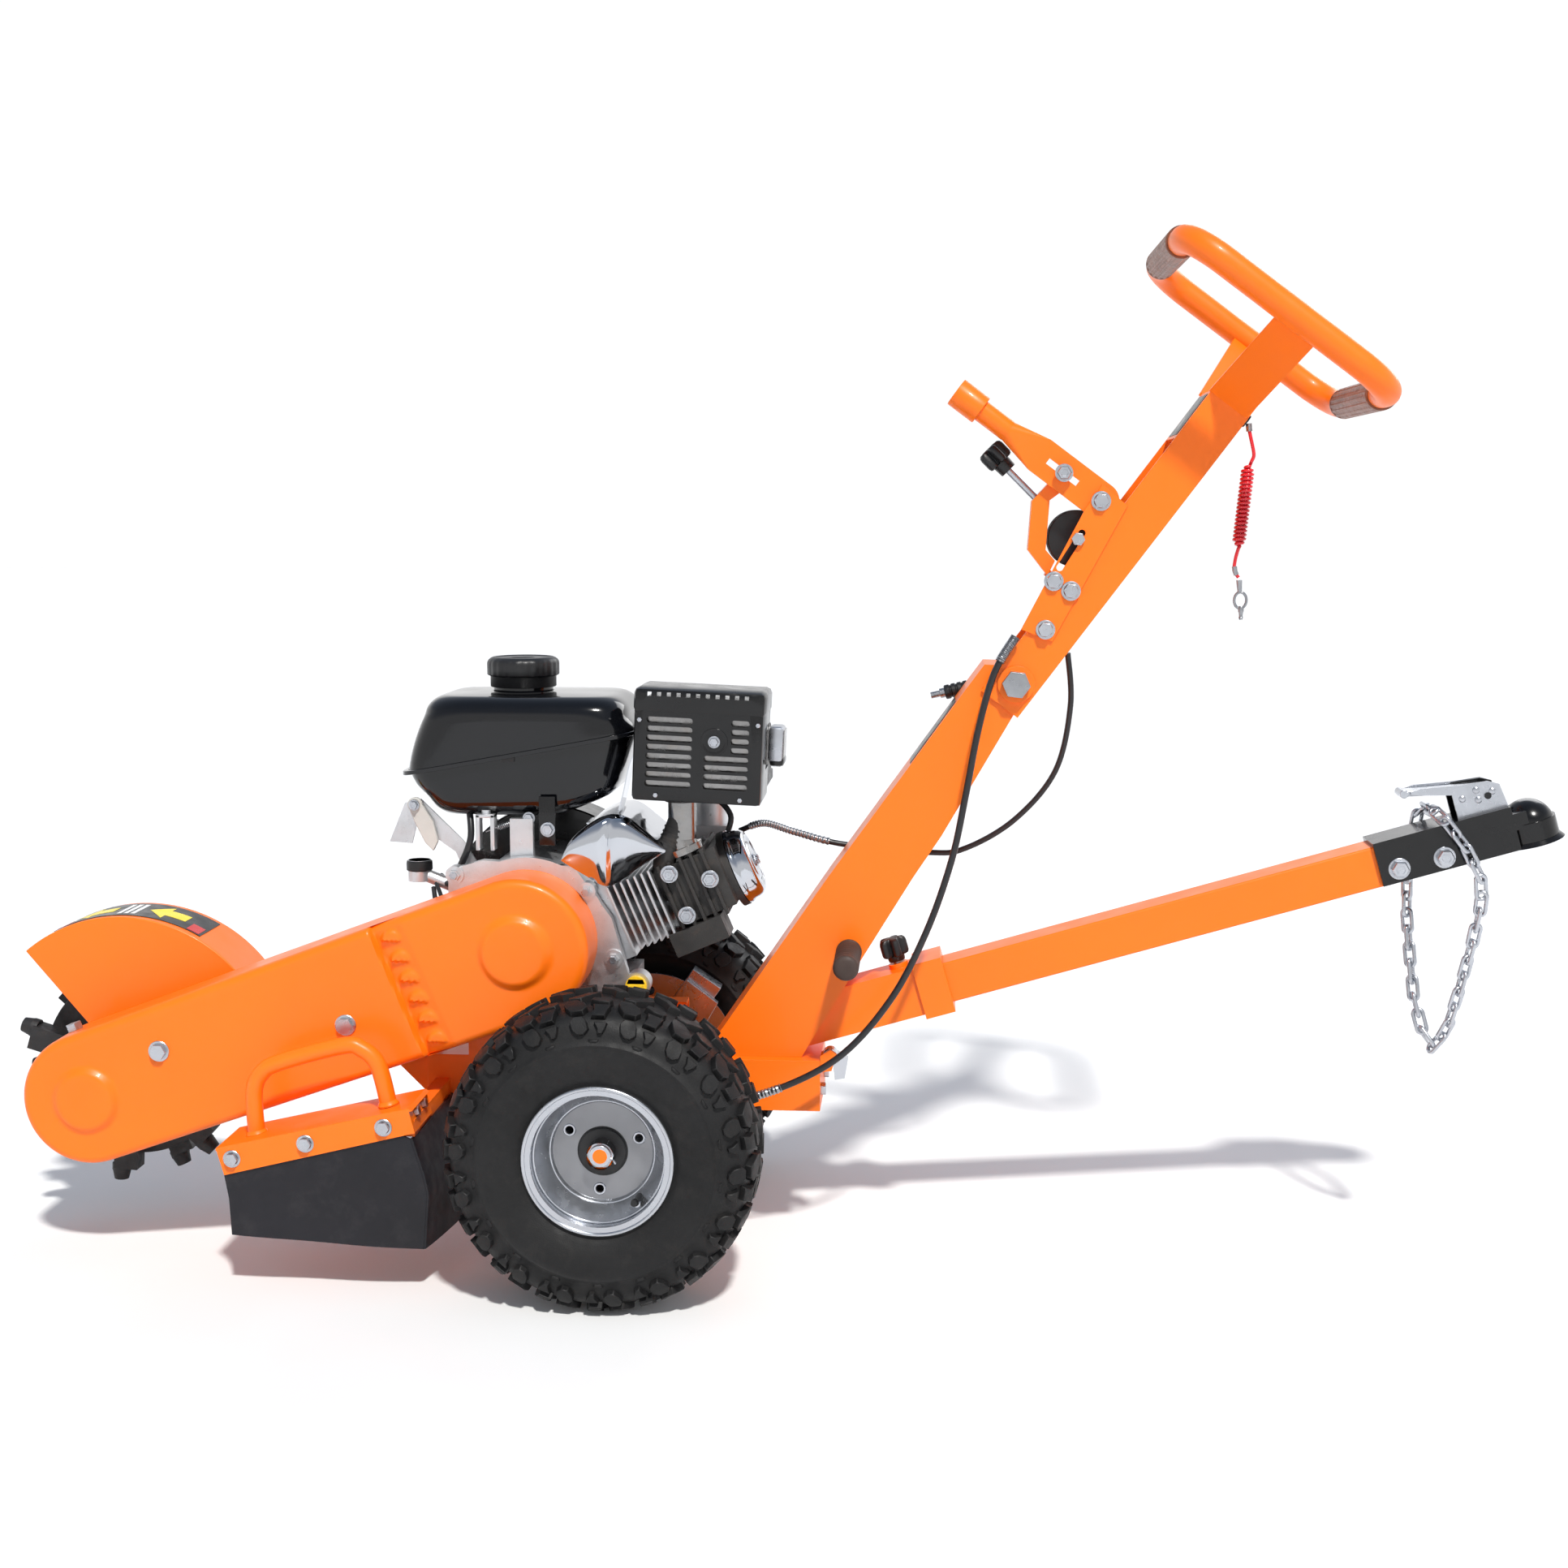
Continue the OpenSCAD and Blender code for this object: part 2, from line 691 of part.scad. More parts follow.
module pulley(x, z, floor_r, bore) {
    rim_r = floor_r + 9;
    translate([x, 0, z]) rotate([90, 0, 0]) rotate_extrude() polygon([[bore, 102], [rim_r, 102],
        [rim_r, 105.4], [floor_r, 105.4], [floor_r, 118.6], [rim_r, 118.6], [rim_r, 120.4],
        [floor_r, 120.4], [floor_r, 133.6], [rim_r, 133.6], [rim_r, 135.4], [floor_r, 135.4],
        [floor_r, 148.6], [rim_r, 148.6], [rim_r, 152], [bore, 152]]);
}

module drive_pulley() {
    part("#55585c") pulley(crank_x, crank_z, drive_floor, 12.72);
}

module driven_pulley() {
    part("#55585c") pulley(cut_x, cut_z, driven_floor, shaft_radius + 0.02);
}

module cutter_shaft() {
    part("#8b8e92") {
        rod_y(cut_x, cut_z, -153, 92, shaft_radius);
        hex_y(cut_x, cut_z, -160, -152.5, 14);
        for (s = [-1, 1]) rod_y(cut_x, cut_z, min(s * 10, s * 22), max(s * 10, s * 22), 34);
    }
}

module cutter_disc() {
    part("#3c3c3e") difference() {
        rod_y(cut_x, cut_z, -10, 10, disc_radius);
        rod_y(cut_x, cut_z, -11, 11, shaft_radius + 0.02);
        for (i = [0:6]) rod_y(cut_x + 62 * cos(51.43 * i), cut_z + 62 * sin(51.43 * i), -11, 11, 12);
    }
}

module cutter_teeth() {
    part("#202021") for (i = [0:tooth_count - 1]) {
        s = i % 2 == 0 ? -1 : 1;
        translate([cut_x, s * 23, cut_z]) rotate([0, -163 - 360 / tooth_count * i, 0]) {
            translate([84, -13, -15]) cube([48, 26, 30]);
            translate([128, 0, -9]) rotate([0, 90, 0]) cylinder(r = 12, h = 8);
            translate([134, 0, -9]) rotate([0, 90, 0]) cylinder(r1 = 12, r2 = 9, h = tooth_radius - 134);
        }
    }
}

module control_cables() {
    part("#17171a") {
        cord(smooth(brake_route, 6), 4.5, 10);
        cord(smooth(throttle_route, 6), 4, 10);
    }
}

// ---- arm ----

module arm_frame() {
    part("#f47a1f") arm() difference() {
        union() {
            for (y = [-50, 46]) box([-31, y, -26], [406, y + 4, 28]);
            box([-31, -46.5, -26], [422, 46.5, -22]);
            box([339, -46.5, 24], [407, 46.5, 28]);
            for (s = [-1, 1]) scale([1, s, 1]) translate([0, 0, -24]) linear_extrude(54)
                polygon([[404.5, 50], [507, 178.5], [510.6, 176], [408.6, 46], [404.5, 46]]);
        }
        for (s = [-1, 1]) translate([loop_reach, s * loop_half_width, -60]) cylinder(r = loop_tube, h = 120);
        rod_y(0, 0, -60, 60, 10.02);
        rod_y(126, 16, -60, -40, 4.05);
        rod_y(72, 12, -60, -40, 4.05);
        translate([65, 26, -30]) cylinder(r = 7, h = 12);
        translate([406, -20, -30]) cylinder(r = 8.05, h = 12);
    }
}

module loop_corner(y, t, a) {
    translate([loop_reach, y, t]) rotate([0, 90, 0]) rotate([0, 0, a])
        rotate_extrude(angle = 90) translate([50, 0]) circle(r = loop_tube);
}

module handle_loop() {
    e = loop_half_width - 50;
    part("#f47a1f") arm() {
        for (s = [-1, 1]) translate([loop_reach, s * loop_half_width, -73]) cylinder(r = loop_tube, h = 183);
        for (t = [-123, 160]) rod_y(loop_reach, t, -e, e, loop_tube);
        loop_corner(e, 110, 90);
        loop_corner(e, -73, 0);
        loop_corner(-e, -73, 270);
        loop_corner(-e, 110, 180);
    }
}

module handle_grips() {
    part("#4a4038") arm() for (t = [-123, 160]) difference() {
        rod_y(loop_reach, t, -108, 108, loop_tube + 2.6);
        rod_y(loop_reach, t, -109, 109, loop_tube + 0.02);
    }
}

module lever_brackets() {
    part("#f47a1f") {
        arm() difference() {
            plate_y([[66, -3], [244, 24], [246, 62], [211, 61], [55, 35]], -54, 4);
            beam(140, 43, 187, 47, 8, -55, -49);
            rod_y(140, 43, -55, -49, 4.2);
            rod_y(187, 47, -55, -49, 4.2);
            for (p = [[123, 39], [126, 16], [72, 12]]) rod_y(p[0], p[1], -55, -49, 4.05);
            rod_y(230, 52, -55, -49, 5.05);
        }
        difference() {
            plate_y([[504.6, 935.8], [483.4, 912.8], [479.5, 855.5], [503.2, 825.1], [511.7, 842.7],
                [500.5, 855.5], [504.3, 913.6], [518.3, 923.9]], -38, 30);
            rod([470, -23, 935], [520, -23, 885], 4.55);
        }
        arm() box([122, -35, -22], [131, -11, 51]);
    }
}

module arm_bolts() {
    part("#a5a8ad") arm() {
        rod_y(0, 0, -54, 72, 10);
        rod_y(0, 0, -54, -50.05, 22);
        hex_y(0, 0, -65, -53, 17);
        hex_y(0, 0, 71, 80, 15);
        for (p = [[123, 39], [126, 16], [72, 12]]) {
            hex_y(p[0], p[1], -61, -54, 9);
            rod_y(p[0], p[1], -55, -43, 4);
        }
        hex_y(230, 52, -61, -54.05, 9);
        rod_y(230, 52, -55, -40, 5);
        hex_y(230, 52, -41.2, -35, 9);
        rod_y(179, 46.3, -58, 25, 3.9);
        hex_y(179, 46.3, -60, -54.05, 8);
        hex_y(179, 46.3, 21, 26, 8);
    }
}

module kill_switch() {
    part("#1b1b1d") arm() {
        box([386, -36, -22], [424, -4, 4]);
        translate([406, -20, -30]) cylinder(r = 8, h = 9);
    }
}

module brake_lever() {
    part("#f47a1f") arm() difference() {
        union() {
            box([208.5, -49.7, 52], [251.5, -41.7, 142]);
            rod_y(230, 52, -49.7, -41.7, 21.5);
            hull() {
                box([208.5, -49.7, 140], [251.5, -41.7, 142]);
                translate([230, -45.7, 186]) cylinder(r = 12.5, h = 2);
            }
            translate([230, -45.7, 186]) cylinder(r = 12.5, h = 46);
            translate([230, -45.7, 228]) cylinder(r = 17, h = 36);
            hex_y(230, 106.5, -57, -49.6, 9);
        }
        translate([230, -45.7, 234]) cylinder(r = 13.5, h = 40);
        box([226.2, -50, 114], [233.8, -41, 130]);
        box([226.2, -50, 86], [233.8, -41, 98]);
        rod_y(230, 52, -60, -40, 5.05);
    }
}

module cable_sheave() {
    part("#161618") arm() translate([179, 0, 46.3]) rotate([90, 0, 0]) rotate_extrude()
        polygon([[3.95, -20], [34, -20], [34, -15], [27, -7], [27, 7], [34, 15], [34, 20], [3.95, 20]]);
}

module adjuster_knob() {
    part("#18181a") translate([440, -23, 965]) rotate([0, 135, 0]) {
        translate([0, 0, 4]) cylinder(r = 4.5, h = 78);
        translate([0, 0, -9]) cylinder(r = 10, h = 20);
        translate([0, 0, -6]) cylinder(r = 13, h = 12);
        for (a = [0:72:288]) rotate([0, 0, a]) translate([12.5, 0, -5]) cylinder(r = 6, h = 10);
    }
}

module lock_lever() {
    part("#1a1a1c") difference() {
        union() {
            rod_y(pivot[0], pivot[2], 52, 69, 18);
            rod([455, 60, 694.3], [378, 60, 676], 6);
            rod([366.7, 60, 673.3], [379, 60, 676.2], 4);
            for (f = [384, 400, 416]) rod([f, 60, 677.4 + (f - 384) * 0.238],
                [f + 9, 60, 679.5 + (f - 384) * 0.238], 9);
        }
        rod_y(pivot[0], pivot[2], 50, 71, 10.05);
    }
}

// ---- tow bar ----

module tow_bar() {
    part("#f47a1f") tow() difference() {
        box([-190, -tow_size / 2, -tow_size / 2], [552, tow_size / 2, tow_size / 2]);
        box([-191, -tow_size / 2 + 4, -tow_size / 2 + 4], [553, tow_size / 2 - 4, tow_size / 2 - 4]);
    }
}

module coupler() {
    part("#111113") tow() difference() {
        union() {
            difference() {
                box([534, -30, -24], [700, 30, 29.5]);
                box([533, -25.2, -30], [715, 25.2, 25.2]);
            }
            plate_top();
            translate([721, 0, -24]) cylinder(r = 33, h = 28);
            translate([721, 0, -2]) sphere(r = 31);
            translate([721, 0, -24]) cylinder(r1 = 38, r2 = 34, h = 5);
            for (y = [-19, 16]) plate_y([[640, 29], [700, 29], [696, 58], [684, 64], [650, 68], [640, 60]], y, 3);
            rod_y(679.7, 48, -22, 22, 4);
            for (p = [[557, -7.7], [611.4, -8.7]]) {
                hex_y(p[0], p[1], -38, -29, 9);
                hex_y(p[0], p[1], 29, 38, 9);
            }
        }
        translate([721, 0, -2]) sphere(r = 25.5);
        translate([721, 0, -40]) cylinder(r = 25.5, h = 38);
        box([640, -25.2, -30], [700, 25.2, 20]);
    }
}

module plate_top() {
    box([690, -30, 0], [716, 30, 20]);
}

module coupler_latch() {
    part("#c2c6cb") tow() difference() {
        union() {
            plate_y([[587, 78], [587, 72], [640, 60], [672, 41], [686, 41], [690, 52], [682, 60], [640, 68]],
                -15, 30);
            rod_y(587, 75, -15, 15, 5);
        }
        rod_y(679.7, 48, -30, 30, 4.05);
    }
}

module tow_knob() {
    part("#161618") tow() {
        translate([-54, 0, 26]) cylinder(r = 5, h = 20);
        translate([-54, 0, 40]) cylinder(r = 11, h = 12);
        translate([-54, 0, 50]) cylinder(r = 13, h = 12);
        for (a = [0:72:288]) translate([-54, 0, 51]) rotate([0, 0, a]) translate([12.5, 0, 0])
            cylinder(r = 6, h = 10);
    }
}

// One link: a closed ring of round wire with straight sides
module link() {
    n = 6;
    m = 12;
    ring = [for (i = [0:m - 1]) let (a = (i + 0.5) * 360 / m)
        [5.9 * cos(a) + (i < m / 4 || i >= 3 * m / 4 ? 9 : -9), 5.9 * sin(a)]];
    pts = [for (i = [0:m - 1]) let (a = (i + 0.5) * 360 / m) for (k = [0:n - 1])
        [ring[i][0] + 2.5 * cos(a) * cos(360 * k / n), ring[i][1] + 2.5 * sin(a) * cos(360 * k / n),
            2.5 * sin(360 * k / n)]];
    polyhedron(pts, [for (i = [0:m - 1]) for (k = [0:n - 1]) for (f = [0, 1]) let (j = (i + 1) % m)
        f == 0 ? [i * n + k, i * n + (k + 1) % n, j * n + k]
               : [i * n + (k + 1) % n, j * n + (k + 1) % n, j * n + k]]);
}

module safety_chain() {
    n = 33;
    pitch = run_len(chain_route, len(chain_route) - 1) / n;
    part("#b6babf") for (i = [0:n - 1]) {
        p = run_at(chain_route, (i + 0.5) * pitch);
        v = unit(run_at(chain_route, (i + 0.9) * pitch) - run_at(chain_route, (i + 0.1) * pitch));
        translate(p) rotate([0, acos(v[2]) - 90, atan2(v[1], v[0])]) rotate([i % 2 == 0 ? 40 : -50, 0, 0])
            link();
    }
}

module base_latch() {
    part("#c9ccd0") difference() {
        union() {
            rod_y(248, 242, -57.6, -42.4, 9);
            plate_y([[242, 235], [256, 246], [270, 238], [266, 214], [254, 212], [252, 228]], -57.6, 15.2);
        }
        rod_y(248, 242, -60, -40, 4.05);
    }
}

// ---- lanyard ----

module lanyard_cord() {
    part("#c8102e") {
        cord(smooth(strap_route, 4), 2.4, 8);
        cord([[736, -20, 956], [733, -20, 925], [731, -20, 890], [728, -20, 858]], 8.5, 12);
        cord(smooth(tail_route, 4), 2.4, 8);
    }
}

module lanyard_clip() {
    part("#8f9499") {
        rod([730, -20, 819], [731, -20, 806], 3.4);
        translate([732, -20, 796]) rotate([90, 0, 0]) rotate_extrude() translate([7, 0]) circle(r = 2);
        rod([732, -20, 789], [733.5, -20, 773], 3);
    }
}

chassis_frame();
boom();
cutter_hood();
bearing_blocks();
belt_guard();
guard_back_plate();
curtain_bracket();
rubber_curtains();
lift_handle();
axle();
mast();
foot_pegs();
tow_receiver();
chassis_bolts();
engine_block();
crankcase_cover();
engine_cylinder();
valve_cover();
cylinder_shroud();
fan_housing();
fuel_tank();
muffler();
muffler_guard();
carburettor();
air_cleaner();
drive_belts();
brake_calipers();
control_cables();
tyre_left();
rim_left();
tyre_right();
rim_right();
cutter_shaft();
driven_pulley();
cutter_disc();
cutter_teeth();
crankshaft();
drive_pulley();
arm_frame();
handle_loop();
handle_grips();
lever_brackets();
arm_bolts();
kill_switch();
brake_lever();
cable_sheave();
adjuster_knob();
lock_lever();
fuel_cap();
dipstick();
choke_lever();
starter_grip();
tow_bar();
coupler();
safety_chain();
tow_knob();
coupler_latch();
base_latch();
lanyard_cord();
lanyard_clip();
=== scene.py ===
import json
import math
import bpy
import bmesh
from mathutils import Vector, Matrix


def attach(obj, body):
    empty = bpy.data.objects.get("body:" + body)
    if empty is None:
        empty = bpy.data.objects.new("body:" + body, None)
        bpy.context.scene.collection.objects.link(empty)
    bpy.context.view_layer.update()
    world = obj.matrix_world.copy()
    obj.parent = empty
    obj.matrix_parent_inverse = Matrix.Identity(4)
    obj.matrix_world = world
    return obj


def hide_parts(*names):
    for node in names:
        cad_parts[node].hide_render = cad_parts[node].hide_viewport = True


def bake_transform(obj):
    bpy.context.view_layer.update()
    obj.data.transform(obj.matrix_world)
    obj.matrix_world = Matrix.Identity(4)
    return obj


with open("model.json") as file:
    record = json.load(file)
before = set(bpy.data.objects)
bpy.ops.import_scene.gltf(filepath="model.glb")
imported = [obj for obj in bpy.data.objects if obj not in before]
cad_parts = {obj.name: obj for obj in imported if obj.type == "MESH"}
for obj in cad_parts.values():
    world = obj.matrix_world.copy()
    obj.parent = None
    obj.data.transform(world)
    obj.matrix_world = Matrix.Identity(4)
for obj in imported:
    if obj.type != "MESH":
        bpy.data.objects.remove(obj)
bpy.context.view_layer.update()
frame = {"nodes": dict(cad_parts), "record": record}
MID = 0.16841  # from the axle to the frame's middle along X, in metres
WHEEL_Y, WHEEL_Z = 243, 181  # a wheel's middle, in mm


def P(x, y, z):
    """A point measured in millimetres from the axle's plane, as metres in the shared frame."""
    return Vector((x / 1000 - MID, y / 1000, z / 1000))


def mm(*v):
    """Millimetres as metres."""
    return tuple(x / 1000 for x in v)


def at(m, x, y, z):
    """A point in millimetres in the frame m."""
    return m @ Vector((x / 1000, y / 1000, z / 1000))


def along(m, x, y, z):
    """A direction in the frame m."""
    return m.to_3x3() @ Vector((x, y, z))


def turned(origin, degrees, axis="Y"):
    """Frame at origin, turned about one axis."""
    return Matrix.Translation(origin) @ Matrix.Rotation(math.radians(degrees), 4, axis)


def facing(origin, axis):
    """Frame at origin with its local Z along axis."""
    return Matrix.Translation(Vector(origin)) @ Vector(axis).to_track_quat("Z", "Y").to_matrix().to_4x4()


def linked(name, data):
    """New object in the scene."""
    o = bpy.data.objects.new(name, data)
    bpy.context.scene.collection.objects.link(o)
    return o


# local X along the arm, the tow bar, the cylinder and the muffler guard
ARM = turned(P(467.5, 0, 697.3), -53.3)
TOW = turned(P(390.8, 0, 327.8), -16.33)
ENG = turned(P(-117, -18, 360), -23)
CAN = turned(P(94, 0, 625), 2.6)


# ---------------------------------------------------------------- shader nodes
def feed(node, **values):
    """Sets a node's sockets by name, with _ for a space."""
    for key, value in values.items():
        node.inputs[key.replace("_", " ")].default_value = value
    return node


def noise(nt, vector, scale, detail, **more):
    n = feed(nt.nodes.new("ShaderNodeTexNoise"), Scale=scale, Detail=detail, **more)
    nt.links.new(vector, n.inputs["Vector"])
    return n.outputs["Fac"]


def remap(nt, value, from_min, from_max, to_min, to_max):
    n = feed(nt.nodes.new("ShaderNodeMapRange"), From_Min=from_min, From_Max=from_max, To_Min=to_min, To_Max=to_max)
    nt.links.new(value, n.inputs["Value"])
    return n.outputs["Result"]


def ramp(nt, fac, stops):
    """Colour ramp through stops of (position, colour)."""
    n = nt.nodes.new("ShaderNodeValToRGB")
    nt.links.new(fac, n.inputs["Fac"])
    elements = n.color_ramp.elements
    for element, (position, colour) in ((elements[0], stops[0]), (elements[1], stops[-1])):
        element.position = position
        element.color = (*colour, 1)
    for position, colour in stops[1:-1]:
        elements.new(position).color = (*colour, 1)
    return n.outputs["Color"]


# ---------------------------------------------------------------- camera, light, floor
cam_data = bpy.data.cameras.new("camera")
cam_data.lens = 47.78
cam_data.sensor_width = 36
cam = linked("camera", cam_data)
cam.location = (0.3676 - MID, -2.53, 0.901)
cam.rotation_euler = (math.radians(90 - 7.47), 0, math.radians(4.07))
scene = bpy.context.scene
scene.camera = cam
scene.view_settings.view_transform = "Standard"

# the world by height, from below to above, and dimmer on the near side
SKY = [(0.4, (0.88, 0.87, 0.86)), (0.5, (0.97, 0.97, 0.97)), (0.66, (0.97, 0.97, 0.98)), (0.76, (0.42, 0.46, 0.54)),
       (1.0, (0.22, 0.28, 0.38))]
world = bpy.data.worlds.new("studio")
scene.world = world
world.use_nodes = True
wt = world.node_tree
background = wt.nodes["Background"]
wsep = wt.nodes.new("ShaderNodeSeparateXYZ")
wt.links.new(wt.nodes.new("ShaderNodeTexCoord").outputs["Generated"], wsep.inputs["Vector"])
wt.links.new(ramp(wt, remap(wt, wsep.outputs["Z"], -1.0, 1.0, 0.0, 1.0), SKY), background.inputs["Color"])
wt.links.new(remap(wt, wsep.outputs["Y"], -0.25, 0.45, 0.8, 1.06), background.inputs["Strength"])


def light(name, kind, direction, place=(0, 0, 0), **look):
    """Light that shines along direction."""
    data = bpy.data.lights.new(name, kind)
    for key, value in look.items():
        setattr(data, key, value)
    o = linked(name, data)
    o.location = place
    o.rotation_euler = Vector(direction).to_track_quat("-Z", "Y").to_euler()


light("key", "SUN", (-0.26, 0.72, -1.0), energy=3.55, angle=math.radians(4), color=(1.0, 0.98, 0.94))
light("back", "AREA", (-1.6, -2.4, -1.6), (1.6, 2.4, 2.2), shape="RECTANGLE", size=2.0, size_y=1.4, energy=22)



# ---------------------------------------------------------------- materials
def material(name, base, rough=0.4, metal=0.0, vary=0.1, scale=9.0, bump=0.0, bump_scale=260.0,
             rough_vary=0.08, coat=0.0, dirt=None, dirt_amount=0.0, spec=0.5):
    """A finish: noise in colour and roughness, with dirt and bump where they are given."""
    m = bpy.data.materials.new(name)
    m.use_nodes = True
    nt = m.node_tree
    b = nt.nodes["Principled BSDF"]
    where = nt.nodes.new("ShaderNodeTexCoord").outputs["Object"]
    colour = ramp(nt, noise(nt, where, scale, 6), [(0.35, [c * (1 - vary) for c in base]),
                                                   (0.68, [min(1, c * (1 + vary)) for c in base])])
    if dirt:
        patches = ramp(nt, noise(nt, where, scale * 3.3, 9, Roughness=0.7),
                       [(0.52, (0, 0, 0)), (0.8, [dirt_amount] * 3)])
        mix = nt.nodes.new("ShaderNodeMix")
        mix.data_type = "RGBA"
        nt.links.new(patches, mix.inputs["Factor"])
        nt.links.new(colour, mix.inputs["A"])
        mix.inputs["B"].default_value = (*dirt, 1)
        colour = mix.outputs["Result"]
    nt.links.new(colour, b.inputs["Base Color"])
    polish = remap(nt, noise(nt, where, scale * 5, 5), 0.3, 0.7, max(0.02, rough - rough_vary),
                   min(1.0, rough + rough_vary))
    nt.links.new(polish, b.inputs["Roughness"])
    feed(b, Metallic=metal, Coat_Weight=coat, Specular_IOR_Level=spec, Coat_Roughness=0.08)
    if bump:
        bn = feed(nt.nodes.new("ShaderNodeBump"), Strength=bump, Distance=0.0006)
        nt.links.new(noise(nt, where, bump_scale, 4), bn.inputs["Height"])
        nt.links.new(bn.outputs["Normal"], b.inputs["Normal"])
    return m


# name: base colour, then the rest of what material() takes, in its order
LOOKS = {
    "orange_paint": ((0.97, 0.172, 0.004), 0.38, 0.0, 0.03, 5, 0.08, 420, 0.06, 0.1,
                     (0.62, 0.12, 0.01), 0.08, 0.35),
    "black_paint": ((0.0035, 0.0035, 0.004), 0.22, 0.0, 0.2, 9, 0.08, 500, 0.07, 0.2,
                    (0.02, 0.018, 0.016), 0.15, 0.35),
    "tyre_rubber": ((0.0075, 0.0075, 0.008), 0.55, 0.0, 0.22, 14, 0.35, 700, 0.12, 0.0,
                    (0.035, 0.03, 0.026), 0.35, 0.3),
    "rubber": ((0.0085, 0.0085, 0.012), 0.46, 0.0, 0.2, 8, 0.2, 300, 0.12, 0.0, (0.045, 0.042, 0.045), 0.35, 0.35),
    "peg_rubber": ((0.045, 0.026, 0.02), 0.62, 0.0, 0.18, 20, 0.5, 900, 0.1),
    "rim_silver": ((0.52, 0.54, 0.58), 0.24, 0.92, 0.04, 12, 0.06, 600, 0.06, 0.3),
    "rim_disc": ((0.27, 0.275, 0.29), 0.34, 0.8, 0.06, 16, 0.1, 700, 0.07),
    "zinc": ((0.52, 0.54, 0.58), 0.3, 1.0, 0.08, 30, 0.03, 700, 0.05),
    "steel": ((0.36, 0.37, 0.39), 0.34, 1.0, 0.12, 30, 0.15, 700, 0.1),
    "cast_iron": ((0.022, 0.022, 0.023), 0.55, 0.35, 0.25, 22, 0.7, 500, 0.12, 0.0, (0.09, 0.06, 0.04), 0.3),
    "cast_alu": ((0.66, 0.67, 0.69), 0.36, 0.9, 0.08, 16, 0.55, 900, 0.1, 0.0, (0.3, 0.28, 0.26), 0.25),
    "chrome": ((0.58, 0.6, 0.64), 0.09, 1.0, 0.04, 8, 0.25, 28, 0.05),
    "tank_black": ((0.0025, 0.0028, 0.004), 0.12, 0.0, 0.1, 4, 0.03, 40, 0.04, 0.35, None, 0.0, 0.35),
    "black_plastic": ((0.007, 0.007, 0.008), 0.4, 0.0, 0.15, 12, 0.25, 900, 0.08),
    "yellow_plastic": ((0.85, 0.55, 0.02), 0.35, 0.0, 0.08, 12, 0.1, 400),
    "grey_plastic": ((0.55, 0.54, 0.51), 0.48, 0.0, 0.08, 20, 0.3, 800),
    "heat_steel": ((0.3, 0.295, 0.29), 0.2, 0.95, 0.12, 18, 0.15, 300, 0.1, 0.0, (0.3, 0.2, 0.12), 0.25),
    "pipe_black": ((0.03, 0.028, 0.027), 0.5, 0.2, 0.25, 20, 0.3, 500, 0.1, 0.0, (0.12, 0.07, 0.04), 0.25),
    "grip_brown": ((0.2, 0.072, 0.036), 0.42, 0.0, 0.2, 24, 0.4, 900, 0.1),
    "red_cord": ((0.62, 0.008, 0.018), 0.22, 0.0, 0.08, 30, 0.0, 300, 0.05, 0.4),
    "cable_jacket": ((0.012, 0.012, 0.014), 0.35, 0.0, 0.15, 30, 0.1, 500),
    "label_black": ((0.01, 0.01, 0.01), 0.3, 0.0, 0.1, 12, 0.04, 300),
    "label_yellow": ((0.9, 0.7, 0.02), 0.32, 0.0, 0.05, 12, 0.04, 300),
    "label_red": ((0.6, 0.02, 0.02), 0.32, 0.0, 0.06, 12, 0.04, 300),
    "label_white": ((0.8, 0.8, 0.8), 0.32, 0.0, 0.04, 12, 0.04, 300),
    "floor": ((0.83, 0.83, 0.83), 0.75, 0.0, 0.015, 2.0, 0.05, 60),
}
M = {name: material(name, *look) for name, look in LOOKS.items()}

bpy.ops.mesh.primitive_plane_add(size=60, location=(0, 0, -0.0005))
floor = bpy.context.object
floor.name = "floor"
floor.data.materials.append(M["floor"])

NODE_SLOT = {s["node"]: s["material_slot"] for s in frame["record"]["subparts"]}
NODE_BODY = {n: b for b, ns in frame["record"]["behaviour"]["bodies"].items() for n in ns}


# ---------------------------------------------------------------- making meshes
def mesh_object(name, verts, faces):
    """New object with its normals outward."""
    me = bpy.data.meshes.new(name)
    me.from_pydata([tuple(v) for v in verts], [], faces)
    me.validate()
    me.update()
    bm = bmesh.new()
    bm.from_mesh(me)
    bmesh.ops.recalc_face_normals(bm, faces=bm.faces)
    bm.to_mesh(me)
    bm.free()
    return linked(name, me)


def finished(o, mat, body, sharp, replaces=()):
    """Shading, material and body for a new piece."""
    o.data.shade_smooth()
    o.data.set_sharp_from_angle(angle=math.radians(sharp))
    o.data.materials.append(M[mat])
    if body:
        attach(o, body)
    if replaces:
        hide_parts(*replaces)
    return o


def wall(rows, n, closed=False):
    """Quads between rows of n points, each row a ring; when closed, the last row joins the first."""
    faces = []
    for i in range(rows if closed else rows - 1):
        j = (i + 1) % rows
        faces += [[i * n + k, i * n + (k + 1) % n, j * n + (k + 1) % n, j * n + k] for k in range(n)]
    return faces


def slab(nu, nv):
    """Faces of two layers of (nu + 1) by (nv + 1) points, closed round the edge."""
    faces = []
    o = (nu + 1) * (nv + 1)
    for i in range(nu):
        for k in range(nv):
            a = i * (nv + 1) + k
            faces.append([a, a + 1, a + nv + 2, a + nv + 1])
            faces.append([o + a, o + a + nv + 1, o + a + nv + 2, o + a + 1])
    edge = [i * (nv + 1) for i in range(nu + 1)] + [nu * (nv + 1) + k for k in range(1, nv + 1)]
    edge += [i * (nv + 1) + nv for i in range(nu - 1, -1, -1)] + [k for k in range(nv - 1, 0, -1)]
    for q in range(len(edge)):
        p = (q + 1) % len(edge)
        faces.append([edge[q], edge[q] + o, edge[p] + o, edge[p]])
    return faces


